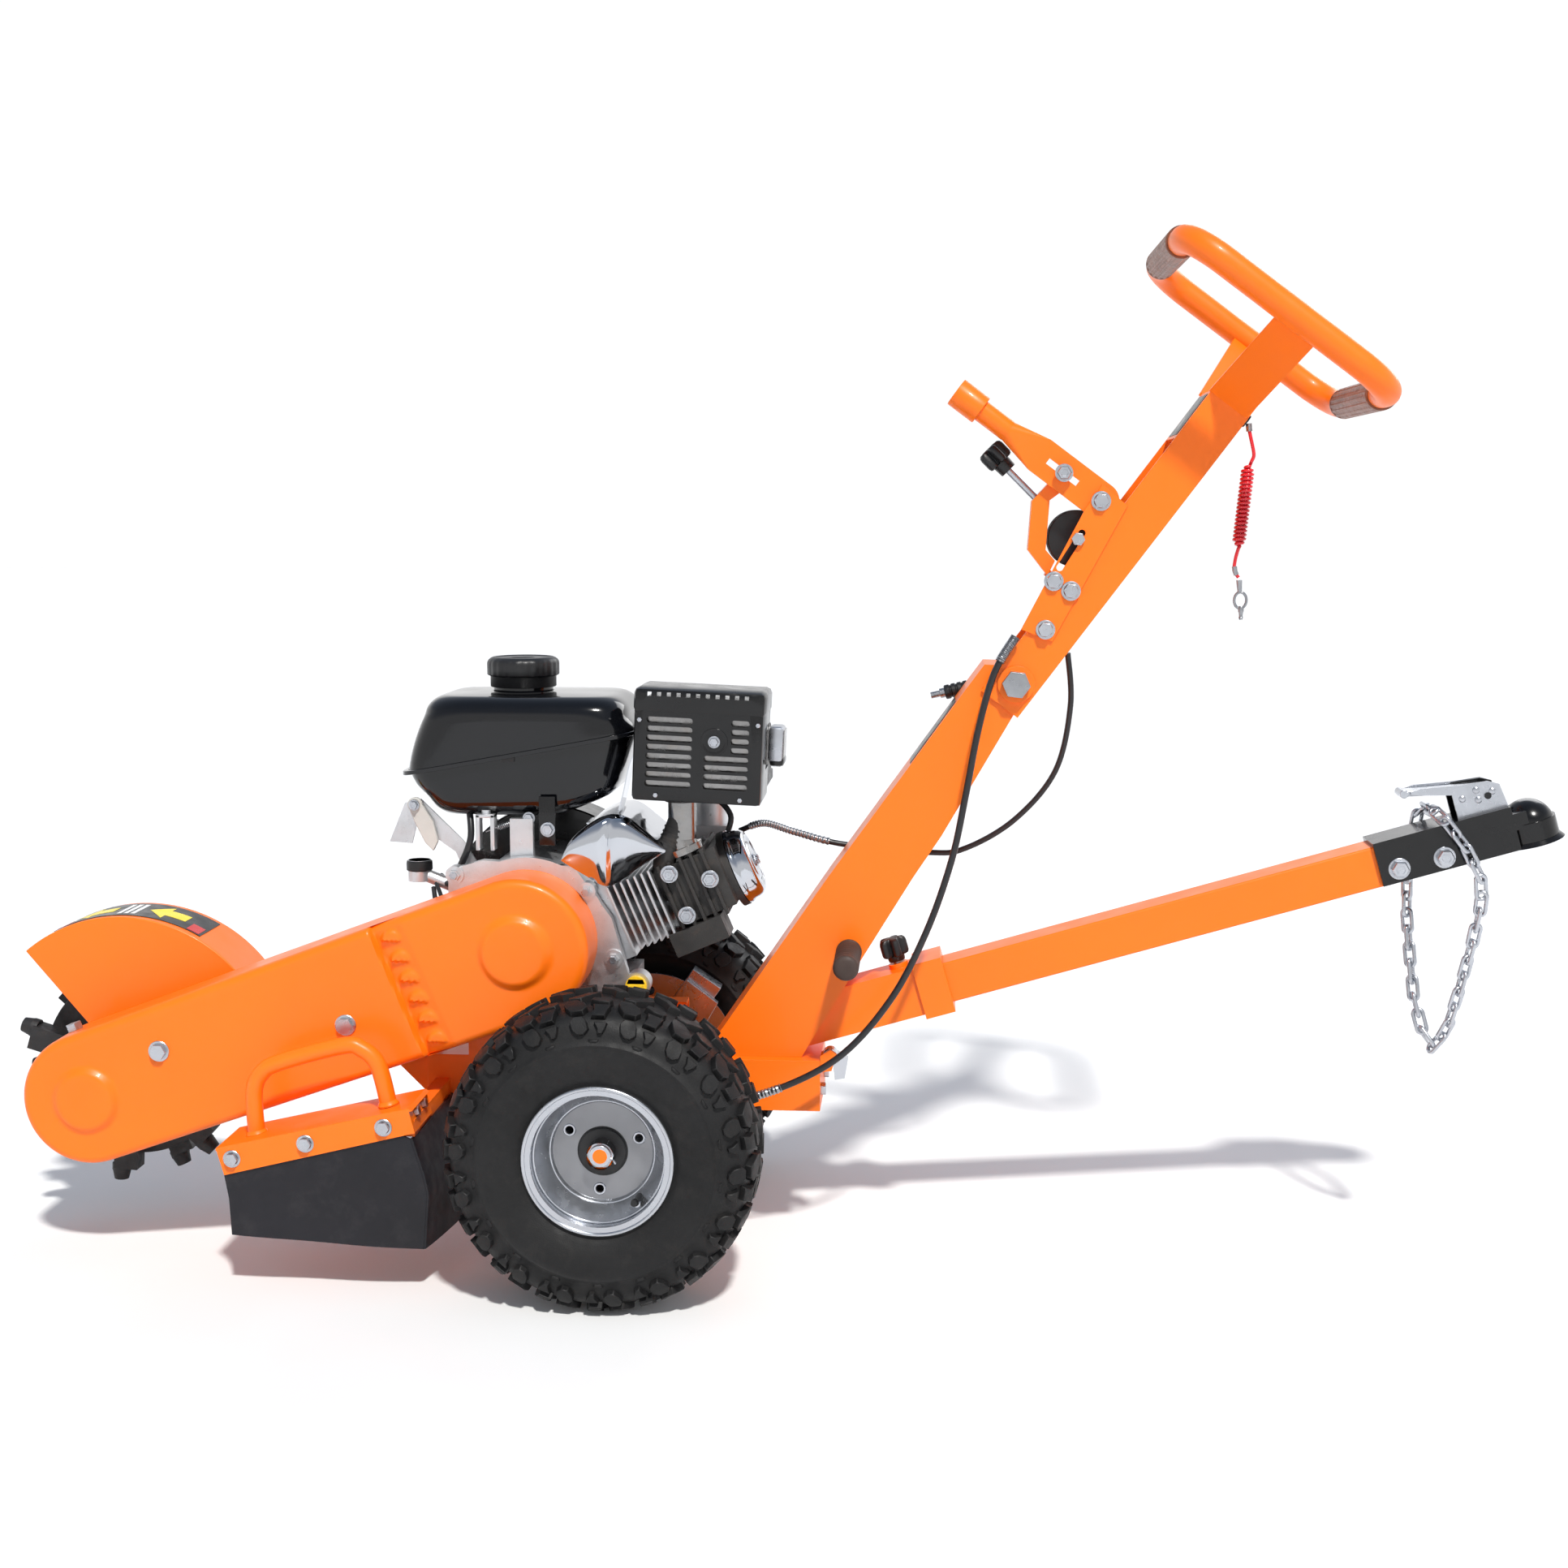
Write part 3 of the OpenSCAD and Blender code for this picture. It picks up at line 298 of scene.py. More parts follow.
class Build:
    """Collects shapes into one mesh."""

    def __init__(self):
        self.v = []
        self.f = []

    def add(self, verts, faces, m=None):
        k = len(self.v)
        self.v += [m @ Vector(p) if m is not None else Vector(p) for p in verts]
        self.f += [[i + k for i in f] for f in faces]

    def lathe(self, profile, m, n=48, closed=False, a0=0.0, a1=360.0):
        """profile of (r, z) in metres turned about local Z."""
        full = abs(a1 - a0 - 360) < 1e-6
        cols = n if full else n + 1
        verts = []
        for i in range(cols):
            a = math.radians(a0 + (a1 - a0) * i / n)
            verts += [(r * math.cos(a), r * math.sin(a), z) for r, z in profile]
        k = len(profile)
        faces = []
        for i in range(n):
            j = (i + 1) % cols
            for q in range(k if closed else k - 1):
                p = (q + 1) % k
                faces.append([i * k + q, j * k + q, j * k + p, i * k + p])
        self.add(verts, faces, m)

    def tube(self, pts, r, n=10, caps=True, m=None, r_of=None):
        """Round tube along points."""
        pts = [Vector(p) for p in pts]
        verts = []
        prev = None
        for i, p in enumerate(pts):
            t = (pts[min(i + 1, len(pts) - 1)] - pts[max(i - 1, 0)]).normalized()
            if prev is None:
                ref = Vector((0, 1, 0)) if abs(t.y) < 0.9 else Vector((1, 0, 0))
                a = t.cross(ref).normalized()
            else:
                a = (prev - t * prev.dot(t)).normalized()
            prev = a
            b = t.cross(a)
            rr = r if r_of is None else r_of(i / (len(pts) - 1)) * r
            for k in range(n):
                q = 2 * math.pi * k / n
                verts.append(p + (a * math.cos(q) + b * math.sin(q)) * rr)
        faces = wall(len(pts), n)
        if caps:
            faces.append(list(range(n - 1, -1, -1)))
            faces.append([(len(pts) - 1) * n + k for k in range(n)])
        self.add(verts, faces, m)

    def box(self, lo, hi, m=None, bevel=0.0):
        """Box with chamfered edges when bevel is given."""
        bm = bmesh.new()
        bmesh.ops.create_cube(bm, size=1.0)
        size = [hi[i] - lo[i] for i in range(3)]
        mid = [(hi[i] + lo[i]) / 2 for i in range(3)]
        for v in bm.verts:
            v.co = Vector([v.co[i] * size[i] + mid[i] for i in range(3)])
        if bevel:
            bmesh.ops.bevel(bm, geom=bm.edges[:], offset=bevel, segments=2, profile=0.5, affect="EDGES")
        bm.verts.index_update()
        self.add([v.co.copy() for v in bm.verts], [[v.index for v in f.verts] for f in bm.faces], m)
        bm.free()

    def hexbolt(self, origin, axis, r=0.009, h=0.006, washer=True):
        """Hexagon head with a washer and chamfer, standing on origin along axis."""
        m = facing(origin, axis)
        z0 = 0.0
        if washer:
            self.lathe([(0.001, 0), (r * 1.22, 0), (r * 1.25, 0.0006), (r * 1.25, 0.0014), (r * 1.2, 0.0018),
                        (0.001, 0.0018)], m, 28)
            z0 = 0.0018
        self.lathe([(0.0001, z0), (r * 0.98, z0), (r, z0 + 0.0004), (r, z0 + h * 0.82), (r * 0.88, z0 + h),
                    (r * 0.55, z0 + h), (r * 0.5, z0 + h - 0.0005), (0.0001, z0 + h - 0.0005)], m, 6)

    def washer(self, m, inner, outer, height):
        """Flat ring with a broken outer edge."""
        self.lathe([(inner, 0.0), (outer - 0.0003, 0.0), (outer, 0.0004), (outer, height - 0.0004),
                    (outer - 0.0005, height), (inner, height)], m, 36)

    def make(self, name, mat, body, replaces=(), sharp=32, slot=None):
        return finished(mesh_object(name, self.v, self.f), mat, body, sharp, replaces)


def spline(pts, m):
    """Smooth curve through pts with m steps between neighbours."""
    pts = [Vector(p) for p in pts]
    out = []
    for i in range(len(pts) - 1):
        a, b, c, d = pts[max(i - 1, 0)], pts[i], pts[i + 1], pts[min(i + 2, len(pts) - 1)]
        for k in range(m):
            t = k / m
            out.append(0.5 * (2 * b + (c - a) * t + (2 * a - 5 * b + 4 * c - d) * t * t
                              + (3 * b - a - 3 * c + d) * t ** 3))
    out.append(pts[-1])
    return out


def refine(node, mat=None, bevel=0.0012, seg=2, sharp=34, paint=()):
    """The node's own shape again as a finished piece with broken edges and its finish."""
    src = frame["nodes"][node]
    me = bpy.data.meshes.new("v_" + node)
    bm = bmesh.new()
    bm.from_mesh(src.data)
    bmesh.ops.transform(bm, matrix=src.matrix_world, verts=bm.verts)
    for f in bm.faces:
        f.material_index = 0
    bmesh.ops.remove_doubles(bm, verts=bm.verts, dist=2e-5)
    bmesh.ops.dissolve_limit(bm, angle_limit=math.radians(0.6), use_dissolve_boundaries=False,
                             verts=bm.verts, edges=bm.edges)
    for i, (name, where) in enumerate(paint):
        for f in bm.faces:
            if where(f):
                f.material_index = i + 1
    bm.to_mesh(me)
    bm.free()
    me.materials.append(M[mat or NODE_SLOT[node]])
    for name, where in paint:
        me.materials.append(M[name])
    o = linked("v_" + node, me)
    me.shade_smooth()
    if bevel:
        md = o.modifiers.new("edges", "BEVEL")
        md.width = bevel
        md.segments = seg
        md.limit_method = "ANGLE"
        md.angle_limit = math.radians(30)
        md.harden_normals = False
        md.use_clamp_overlap = True
        wn = o.modifiers.new("normals", "WEIGHTED_NORMAL")
        wn.keep_sharp = True
    me.set_sharp_from_angle(angle=math.radians(sharp if not bevel else 60))
    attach(o, NODE_BODY[node])
    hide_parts(node)
    return o


def face_reach(f, hub):
    """How far the face's outermost corner is from the wheel's axis."""
    return max(math.hypot(v.co.x - hub.x, v.co.z - hub.z) for v in f.verts)


# ---------------------------------------------------------------- tyres
def tyre_profile():
    """Half section as (y, r) from the middle of the tread to the bead, evenly spaced by length."""
    ctrl = [(0, 173.5), (20, 173.2), (40, 171.5), (54, 167), (62, 159.5), (66.3, 151), (68.3, 144.5), (69.6, 139.5),
            (72.3, 137.2), (72.3, 133.6), (71.0, 132), (70.4, 124), (68.5, 114), (65.5, 104), (62, 96),
            (61.2, 93.6), (59.4, 92.6), (58.2, 89), (57.4, 86.6)]
    pts = spline([Vector((a, b, 0)) for a, b in ctrl], 5)
    length = [0.0]
    for i in range(1, len(pts)):
        length.append(length[-1] + (pts[i] - pts[i - 1]).length)
    return pts, length


PROF, PROF_LEN = tyre_profile()
PITCHES = 18
# tread blocks of one pitch on one side: height, then rows of (distance from the middle, start angle, end angle)
LUGS = [(7.3, [(2.0, 0.4, 5.6), (12.0, 2.2, 7.6), (20.0, 5.0, 12.0), (27.0, 6.6, 11.2)]),
        (7.4, [(24.0, -4.6, 2.4), (33.0, -5.6, 3.2), (40.0, -4.4, -0.2)]),
        (8.0, [(32.0, 7.6, 12.2), (42.0, 4.4, 12.6), (50.0, 3.0, 11.4), (57.0, 4.6, 9.6)]),
        (8.2, [(45.0, -5.4, 1.6), (54.0, -4.6, 0.8), (62.0, -4.0, 1.8)]),
        (6.6, [(60.0, 4.4, 8.8), (66.0, 3.0, 10.2), (74.0, 2.2, 9.4), (80.0, 4.2, 7.4)]),
        (6.0, [(65.5, -5.2, 0.6), (73.0, -4.6, -1.0), (79.0, -3.6, -1.2)]),
        (2.2, [(84.0, -2.4, 3.2), (89.0, -1.2, 2.0)])]


def prof_at(w):
    """Point and outward normal of the half section at a signed distance from the tread's middle, in mm."""
    s = -1 if w < 0 else 1
    d = min(abs(w), PROF_LEN[-1] - 1e-6)
    i = 0
    while PROF_LEN[i + 1] < d:
        i += 1
    t = (d - PROF_LEN[i]) / max(PROF_LEN[i + 1] - PROF_LEN[i], 1e-9)
    p = PROF[i].lerp(PROF[i + 1], t)
    tan = (PROF[min(i + 2, len(PROF) - 1)] - PROF[max(i - 1, 0)]).normalized()
    nrm = Vector((-tan.y, tan.x))
    if d < 1e-6:
        nrm = Vector((0, 1))
    return s * p.x, p.y, s * nrm.x, nrm.y


def tyre_point(theta, w, h):
    """Point at an angle round the tyre, a distance w over its section and a height h above it."""
    y, r, ny, nr = prof_at(w)
    a = math.radians(theta)
    rr = (r + h * nr) / 1000
    return Vector((rr * math.cos(a), rr * math.sin(a), (y + h * ny) / 1000))


def lug(b, m, rows, height):
    """A tread block. rows are (w, start angle, end angle); its sides draft inward."""
    n = len(rows)
    verts, faces = [], []
    for w, a0, a1 in rows:
        verts.append(tyre_point(a0, w, -1.0))
        verts.append(tyre_point(a1, w, -1.0))
    wm = sum(r[0] for r in rows) / n
    for i, (w, a0, a1) in enumerate(rows):
        ins = 0.35
        ww = w + (1.2 if w < wm else -1.2) * (1 if i in (0, n - 1) else 0)
        verts.append(tyre_point(a0 + ins, ww, height))
        verts.append(tyre_point(a1 - ins, ww, height))
    o = 2 * n
    for i in range(n - 1):
        faces.append([o + 2 * i, o + 2 * i + 1, o + 2 * i + 3, o + 2 * i + 2])
        faces.append([2 * i, o + 2 * i, o + 2 * i + 2, 2 * i + 2])
        faces.append([2 * i + 1, 2 * i + 3, o + 2 * i + 3, o + 2 * i + 1])
    faces.append([0, 1, o + 1, o])
    faces.append([2 * n - 2, o + 2 * n - 2, o + 2 * n - 1, 2 * n - 1])
    b.add(verts, faces, m)


def make_tyre(side, node, body):
    m = turned(P(0, side * WHEEL_Y, WHEEL_Z), -90 * side, "X")
    b = Build()
    n = 120
    ws = [PROF_LEN[-1] * (i / 36) for i in range(37)]
    ring = [(-w) for w in reversed(ws[1:])] + ws
    prof = []
    for w in ring:
        y, r, ny, nr = prof_at(w)
        prof.append((r / 1000, y / 1000))
    prof += [(0.0802, 0.057), (0.0802, -0.057)]
    b.lathe(prof, m, n, closed=True)
    step = 360 / PITCHES
    for k in range(PITCHES):
        for s in (-1, 1):
            o = k * step + (step / 2 if s > 0 else 0)
            for height, rows in LUGS:
                lug(b, m, [(s * w, o + a0, o + a1) for w, a0, a1 in rows], height)
    o = b.make("v_" + node, "tyre_rubber", body, [node], sharp=28)
    md = o.modifiers.new("edges", "BEVEL")
    md.width = 0.0007
    md.segments = 1
    md.limit_method = "ANGLE"
    md.angle_limit = math.radians(32)
    return o


make_tyre(-1, "tyre_left", "left_wheel")
make_tyre(1, "tyre_right", "right_wheel")

for side, node, body in ((-1, "rim_left", "left_wheel"), (1, "rim_right", "right_wheel")):
    hub = P(0, side * WHEEL_Y, WHEEL_Z)
    refine(node, bevel=0.0016, seg=3,
           paint=[("rim_disc", lambda f, h=hub: face_reach(f, h) < 0.0585),
                  ("black_plastic", lambda f, h=hub: face_reach(f, h) < 0.0285)])
    m = turned(hub, -90 * side, "X")
    b = Build()
    for r, z, t in ((0.0842, 0.0604, 0.0026), (0.0745, 0.0475, 0.0016), (0.06, 0.0225, 0.0014)):
        b.lathe([(r + t * math.cos(q * math.pi / 4), z + t * math.sin(q * math.pi / 4)) for q in range(8)], m, 96,
                closed=True)
    b.make("rim_beads_" + body, "rim_silver", body, sharp=60)
    b = Build()
    b.lathe([(0.0158, 0.0415), (0.0158, 0.0232), (0.0262, 0.0232), (0.0275, 0.0222), (0.0275, 0.0195),
             (0.029, 0.0191)], m, 48)
    vm = m @ Matrix.Rotation(math.radians(-49), 4, "Z")
    b.tube([vm @ Vector((0.066, 0, 0.028)), vm @ Vector((0.0655, 0, 0.044)), vm @ Vector((0.063, 0, 0.056))],
           0.0046, 16)
    b.tube([vm @ Vector((0.063, 0, 0.0555)), vm @ Vector((0.0621, 0, 0.061))], 0.0036, 12)
    b.make("hub_cap_" + body, "black_plastic", body)
    b = Build()
    for q in (21, 148, -95):
        nm = m @ Matrix.Rotation(math.radians(q), 4, "Z") @ Matrix.Translation((0.0446, 0, 0.019))
        b.lathe([(0.0046, -0.001), (0.005, 0.0008), (0.0066, 0.001), (0.0074, 0.0002), (0.0076, -0.0008)], nm, 28)
    b.make("rim_eyelets_" + body, "rim_silver", body)
    b = Build()
    b.lathe([(0.0157, 0.0355), (0.0118, 0.0368), (0.0108, 0.0368), (0.0098, 0.04), (0.008, 0.0412),
             (0.0001, 0.0412)], m, 32)
    b.make("axle_end_" + body, "orange_paint", "chassis")
    b = Build()
    b.tube([m @ Vector((-0.011, 0.002, 0.0385)), m @ Vector((0.014, -0.003, 0.0385)),
            m @ Vector((0.017, -0.009, 0.037))], 0.0015, 10)
    b.lathe([(0.0001, 0.0365), (0.0158, 0.0365), (0.016, 0.0358), (0.016, 0.024)], m, 6)
    b.make("axle_nut_" + body, "zinc", "chassis")


# ---------------------------------------------------------------- lanyard
def helix_between(a, b, r, turns, per_turn=20):
    """Coil from a to b that tapers at both ends."""
    a, b = Vector(a), Vector(b)
    d = (b - a).normalized()
    u = d.cross(Vector((0, 1, 0))).normalized()
    w = d.cross(u)
    n = turns * per_turn
    pts = []
    for i in range(n + 1):
        f = i / n
        k = min(1.0, min(f, 1 - f) * 14)
        q = 2 * math.pi * turns * f
        rr = r * (0.25 + 0.75 * k)
        pts.append(a.lerp(b, f) + (u * math.cos(q) + w * math.sin(q)) * rr)
    return pts


strap = spline([P(736, -20, 1001), P(738, -20, 990), P(743, -20, 968), P(741, -20, 960)], 6)
tail = spline([P(728, -20, 857), P(725, -20, 845), P(724, -20, 832), P(729, -20, 823)], 6)
lane = strap + helix_between(P(737, -20, 954), P(728, -20, 860), 0.0061, 20) + tail
cu = bpy.data.curves.new("lanyard", "CURVE")
cu.dimensions = "3D"
cu.bevel_depth = 0.0021
cu.bevel_resolution = 4
cu.use_fill_caps = True
sp = cu.splines.new("POLY")
sp.points.add(len(lane) - 1)
for i, p in enumerate(lane):
    sp.points[i].co = (*p, 1)
lanyard = linked("lanyard", cu)
cu.materials.append(M["red_cord"])
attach(lanyard, "arm")
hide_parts("lanyard_cord")

b = Build()
swivel = [P(730, -20, 820), P(730.5, -20, 812), P(731, -20, 806)]
b.tube(swivel, 0.0036, 16, r_of=lambda f: 1.0 - 0.25 * f)
b.tube([P(732 + 7.2 * math.cos(math.radians(q)), -20, 796 + 9.6 * math.sin(math.radians(q)))
        for q in range(0, 361, 15)], 0.0017, 12, caps=False)
b.lathe([(0.0001, 0.0), (0.0028, 0.0), (0.0034, 0.0012), (0.0034, 0.0062), (0.0026, 0.0078), (0.0022, 0.012),
         (0.0028, 0.0135), (0.0018, 0.016), (0.0001, 0.0162)],
        turned(P(733.0, -20, 789), 176, "X"), 20)
clip = b.make("lanyard_clip", "steel", "arm", ["lanyard_clip"], slot="zinc")
b = Build()
b.tube([P(736, -20, 1003), P(736.4, -20, 998), P(737, -20, 994)], 0.0036, 18)
b.tube([P(724, -20, 836), P(724.6, -20, 831), P(726.5, -20, 826)], 0.0031, 16)
ferrules = b.make("lanyard_ferrules", "steel", "arm", slot="zinc")

# ---------------------------------------------------------------- control cables
brake_route = spline([P(466, -60, 754), P(441, -65, 711), P(423, -70, 644), P(409, -75, 567), P(393, -80, 489),
                      P(363, -90, 402), P(320, -95, 319), P(257, -100, 249), P(170, -108, 207),
                      P(92, -112, 196)], 12)
throttle_route = spline([P(533, 30, 729), P(538, 40, 663), P(522, 60, 580), P(473, 70, 517), P(412, 75, 479),
                         P(366, 75, 473), P(259, 76, 482), P(197, 76, 497), P(157, 76, 508),
                         P(125, 84, 497)], 12)
for name, route, r in (("brake_cable", brake_route, 0.0041), ("throttle_cable", throttle_route, 0.0036)):
    b = Build()
    b.tube(route, r, 14)
    o = b.make(name, "cable_jacket", None, ["control_cables"], slot="cable_jacket")
    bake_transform(o)

# ---------------------------------------------------------------- belt guard
GA, GB = Vector((-641.8, 198.6)), Vector((-117.4, 387.5))
RA, RB = 80.0, 86.0
GU = (GB - GA).normalized()
GL = (GB - GA).length
GK = (RB - RA) / GL


def smooth_step(t):
    t = max(0.0, min(1.0, t))
    return t * t * (3 - 2 * t)


def guard_edge(d, inset=0.0):
    """Half width of the cover at a distance d along its length from the front disc's centre, in mm."""
    ra, rb = RA - inset, RB - inset
    ta, tb = -GK * ra, GL - GK * rb
    if d < ta:
        return math.sqrt(max(ra * ra - d * d, 0))
    if d > tb:
        return math.sqrt(max(rb * rb - (d - GL) ** 2, 0))
    c = math.sqrt(1 - GK * GK)
    return (ra * c) + ((rb - ra) * c) * (d - ta) / (tb - ta)


def guard_point(d, w, y):
    """Point on the cover: d along it, w across it (up positive), y across the machine, in mm."""
    return P(GA.x + GU.x * d - GU.y * w, y, GA.y + GU.y * d + GU.x * w)


def guard_height(d, w):
    """How far the pressed face stands from its flat, in mm: bosses out, slanted band in."""
    h = 0.0
    for c, r in ((0.0, 38.0), (GL, 41.0)):
        q = math.hypot(d - c, w)
        h += 7.0 * (1 - smooth_step((q - r + 6.0) / 11.0))
    p = guard_point(d, w, 0)
    x, z = (p.x + MID) * 1000, p.z * 1000
    ax, az, bx, bz = -281.0, 437.0, -202.0, 254.0
    ln = math.hypot(bx - ax, bz - az)
    ux, uz = (bx - ax) / ln, (bz - az) / ln
    along = (x - ax) * ux + (z - az) * uz
    flush = h
    across = -(x - ax) * uz + (z - az) * ux
    if abs(across) < 26:
        fall = smooth_step((22.0 + across) / 4.0)
        h -= 9.0 * fall * max(0.0, min(1.0, (20.0 - across) / 38.0))
        best = 0.0
        for i in range(6):
            f = 0.17 + i * 0.132
            cx, cz = ax + 79 * f + 3, az - 183 * f
            dx, dz = x - cx, z - cz
            e = math.hypot(dx / 14.5, (dz + 7.0) / 15.5)
            if dz > -8.0:
                best = max(best, (1 - smooth_step((e - 0.62) / 0.38)) * smooth_step((dz + 8.0) / 1.6))
        h += (flush + 0.6 - h) * best
    return h


def make_guard():
    b = Build()
    r = 10.0
    us = []
    n_end, n_mid = 30, 260
    d0, d1 = -RA, GL + RB
    for i in range(n_end):
        us.append(d0 + RA * (1 - math.cos(math.pi / 2 * i / n_end)))
    for i in range(n_mid):
        us.append(GL * i / n_mid)
    for i in range(n_end + 1):
        us.append(GL + RB * math.sin(math.pi / 2 * i / n_end))
    m = 84
    verts, faces = [], []
    for d in us:
        for k in range(m + 1):
            s = -math.cos(math.pi * k / m)
            s = 0.55 * s + 0.45 * (2 * k / m - 1)
            dd = min(max(d, d0 + 0.02), d1 - 0.02)
            w = guard_edge(dd) * s
            gap_w = guard_edge(dd) - abs(w)
            gap_d = 1e9
            if d < 0:
                gap_d = RA - math.hypot(d, w)
            elif d > GL:
                gap_d = RB - math.hypot(d - GL, w)
            gap = max(0.0, min(gap_w, gap_d))
            drop = r - math.sqrt(max(0.0, r * r - (r - min(gap, r)) ** 2)) if gap < r else 0.0
            y = -165 + drop - guard_height(d, w)
            verts.append(guard_point(dd, w, y))
    for i in range(len(us) - 1):
        for k in range(m):
            a = i * (m + 1) + k
            faces.append([a, a + 1, a + m + 2, a + m + 1])
    b.add(verts, faces)
    ring = []
    a0 = math.degrees(math.atan2(GU.y, GU.x))
    kk = math.degrees(math.asin(GK))
    for c, radius, start, sweep in ((GA, RA, a0 + 90 + kk, 180 - 2 * kk), (GB, RB, a0 - 90 - kk, 180 + 2 * kk)):
        ring += [(c.x, c.y, start + sweep * i / 60, radius) for i in range(61)]
    outer = []
    for y, inset in ((-155.0, 0.0), (-125.0, 0.0), (-92.3, 0.0), (-91.9, 0.5), (-91.9, 2.6), (-92.4, 3.1),
                     (-125.0, 3.1), (-152.0, 3.1), (-154.5, 4.5), (-155.5, 9.0)):
        outer.append([P(cx + (R - inset) * math.cos(math.radians(q)), y,
                        cz + (R - inset) * math.sin(math.radians(q))) for cx, cz, q, R in ring])
    faces = wall(len(outer), len(ring))
    faces.append([(len(outer) - 1) * len(ring) + i for i in range(len(ring))])
    b.add([p for o in outer for p in o], faces)
    return b.make("v_belt_guard", "orange_paint", "chassis", ["belt_guard"], sharp=40)


make_guard()
refine("guard_back_plate", bevel=0.0008)

# ---------------------------------------------------------------- hood, its edge bead and its generic warning band
refine("cutter_hood", bevel=0.0013)


def hood_patch(b, a0, a1, y0, y1, r=0.19295, t=0.0003, shape=None, n=24, m=10):
    """Thin patch on the hood's round top. shape maps (u, v) in 0..1 to a point in 0..1, for slanted outlines."""
    verts = []
    for layer in (0, 1):
        for i in range(n + 1):
            for k in range(m + 1):
                u, v = i / n, k / m
                if shape:
                    u, v = shape(u, v)
                a = math.radians(a0 + (a1 - a0) * u)
                rr = r + t * layer
                verts.append(P(-637, y0 + (y1 - y0) * v, 208) + Vector((rr * math.cos(a), 0, rr * math.sin(a))))
    b.add(verts, slab(n, m))


b = Build()
hood_patch(b, 60, 118, -38, 38, 0.19235, 0.0006)
b.make("hood_band", "label_black", "chassis", slot="black_paint")
b = Build()
for a in (69, 97):
    hood_patch(b, a, a + 8, -13, 13)
    hood_patch(b, a + 8, a + 15, -29, 29, shape=lambda u, v: (u, 0.5 + (v - 0.5) * max(1 - u, 0.02)))
b.make("hood_arrows", "label_yellow", "chassis", slot="yellow_plastic")
b = Build()
for a in (87.0, 89.6, 92.2):
    hood_patch(b, a, a + 1.6, -28, 28, n=3)
b.make("hood_bars", "label_white", "chassis", slot="grey_plastic")
b = Build()
hood_patch(b, 61.0, 66.0, -35, -8, n=4)
hood_patch(b, 113.5, 117.0, -33, -4, n=4)
b.make("hood_red_marks", "label_red", "chassis", slot="red_cord")

# ---------------------------------------------------------------- boom, chassis and small frame parts
for n, w in (("boom", 0.0012), ("chassis_frame", 0.0012), ("curtain_bracket", 0.0008), ("bearing_blocks", 0.0025),
             ("axle", 0.0012), ("brake_calipers", 0.0015), ("mast", 0.0022), ("tow_receiver", 0.0012),
             ("cutter_shaft", 0.001), ("driven_pulley", 0.0006), ("drive_pulley", 0.0006), ("crankshaft", 0.0008),
             ("cutter_disc", 0.002), ("cutter_teeth", 0.0022), ("drive_belts", 0.0008), ("tow_bar", 0.002),
             ("arm_frame", 0.0014), ("lever_brackets", 0.0009), ("kill_switch", 0.0015),
             ("brake_lever", 0.0004), ("cable_sheave", 0.0012),
             ("coupler", 0.0013), ("coupler_latch", 0.001), ("base_latch", 0.001), ("choke_lever", 0.001),
             ("carburettor", 0.0015), ("air_cleaner", 0.003), ("fan_housing", 0.003), ("starter_grip", 0.002),
             ("muffler", 0.0015), ("chassis_bolts", 0.0008), ("crankcase_cover", 0.0025),
             ("engine_block", 0.0025), ("dipstick", 0.0012)):
    refine(n, bevel=w)


def star_knob(name, node, m, top, foot):
    """Five rounded lobes on a collar, in the frame m with the spindle along +Z from foot."""
    b = Build()
    rows = [(top - 0.011, 0.8), (top - 0.01, 0.93), (top - 0.007, 1.0), (top + 0.006, 1.0), (top + 0.0095, 0.94),
            (top + 0.0115, 0.8), (top + 0.0122, 0.45)]
    n = 90
    verts = []
    for z, g in rows:
        for k in range(n):
            q = 2 * math.pi * k / n
            r = (0.0146 + 0.004 * math.cos(5 * q) - 0.0008 * math.cos(10 * q)) * g
            verts.append((r * math.cos(q), r * math.sin(q), z))
    faces = wall(len(rows), n)
    for ring in (0, len(rows) - 1):
        verts.append((0, 0, rows[ring][0]))
        faces += [[ring * n + k, ring * n + (k + 1) % n, len(verts) - 1] for k in range(n)]
    b.add(verts, faces, m)
    b.lathe([(0.0001, foot), (0.0098, foot), (0.0104, foot + 0.001), (0.011, top - 0.0105), (0.0001, top - 0.0105)],
            m, 32)
    b.make(name, "black_plastic", NODE_BODY[node], [node])


km = turned(P(440, -23, 965), -45, "Y")
star_knob("v_adjuster_knob", "adjuster_knob", km, 0.0005, -0.023)
b = Build()
b.tube([km @ Vector((0, 0, -0.021)), km @ Vector((0, 0, -0.06))], 0.0044, 20,
       r_of=lambda f: 1.0 + 0.05 * math.sin(f * math.pi * 2 * 18))
b.tube([km @ Vector((0, 0, -0.06)), km @ Vector((0, 0, -0.08)), km @ Vector((0, 0, -0.082))], 0.0044, 20)
b.make("adjuster_spindle", "zinc", NODE_BODY["adjuster_knob"])
tm = TOW @ Matrix.Translation(Vector((-0.054, 0, 0)))
star_knob("v_tow_knob", "tow_knob", tm, 0.056, 0.0385)
b = Build()
b.tube([tm @ Vector((0, 0, 0.0262)), tm @ Vector((0, 0, 0.039))], 0.005, 20)
b.make("tow_knob_stud", "zinc", NODE_BODY["tow_knob"])
ARM_INVERSE = ARM.inverted()
ENG_INVERSE = ENG.inverted()


def pivot_part(f, lo, hi, r):
    q = ARM_INVERSE @ f.calc_center_median()
    return lo <= q.y <= hi and math.hypot(q.x, q.z) < r


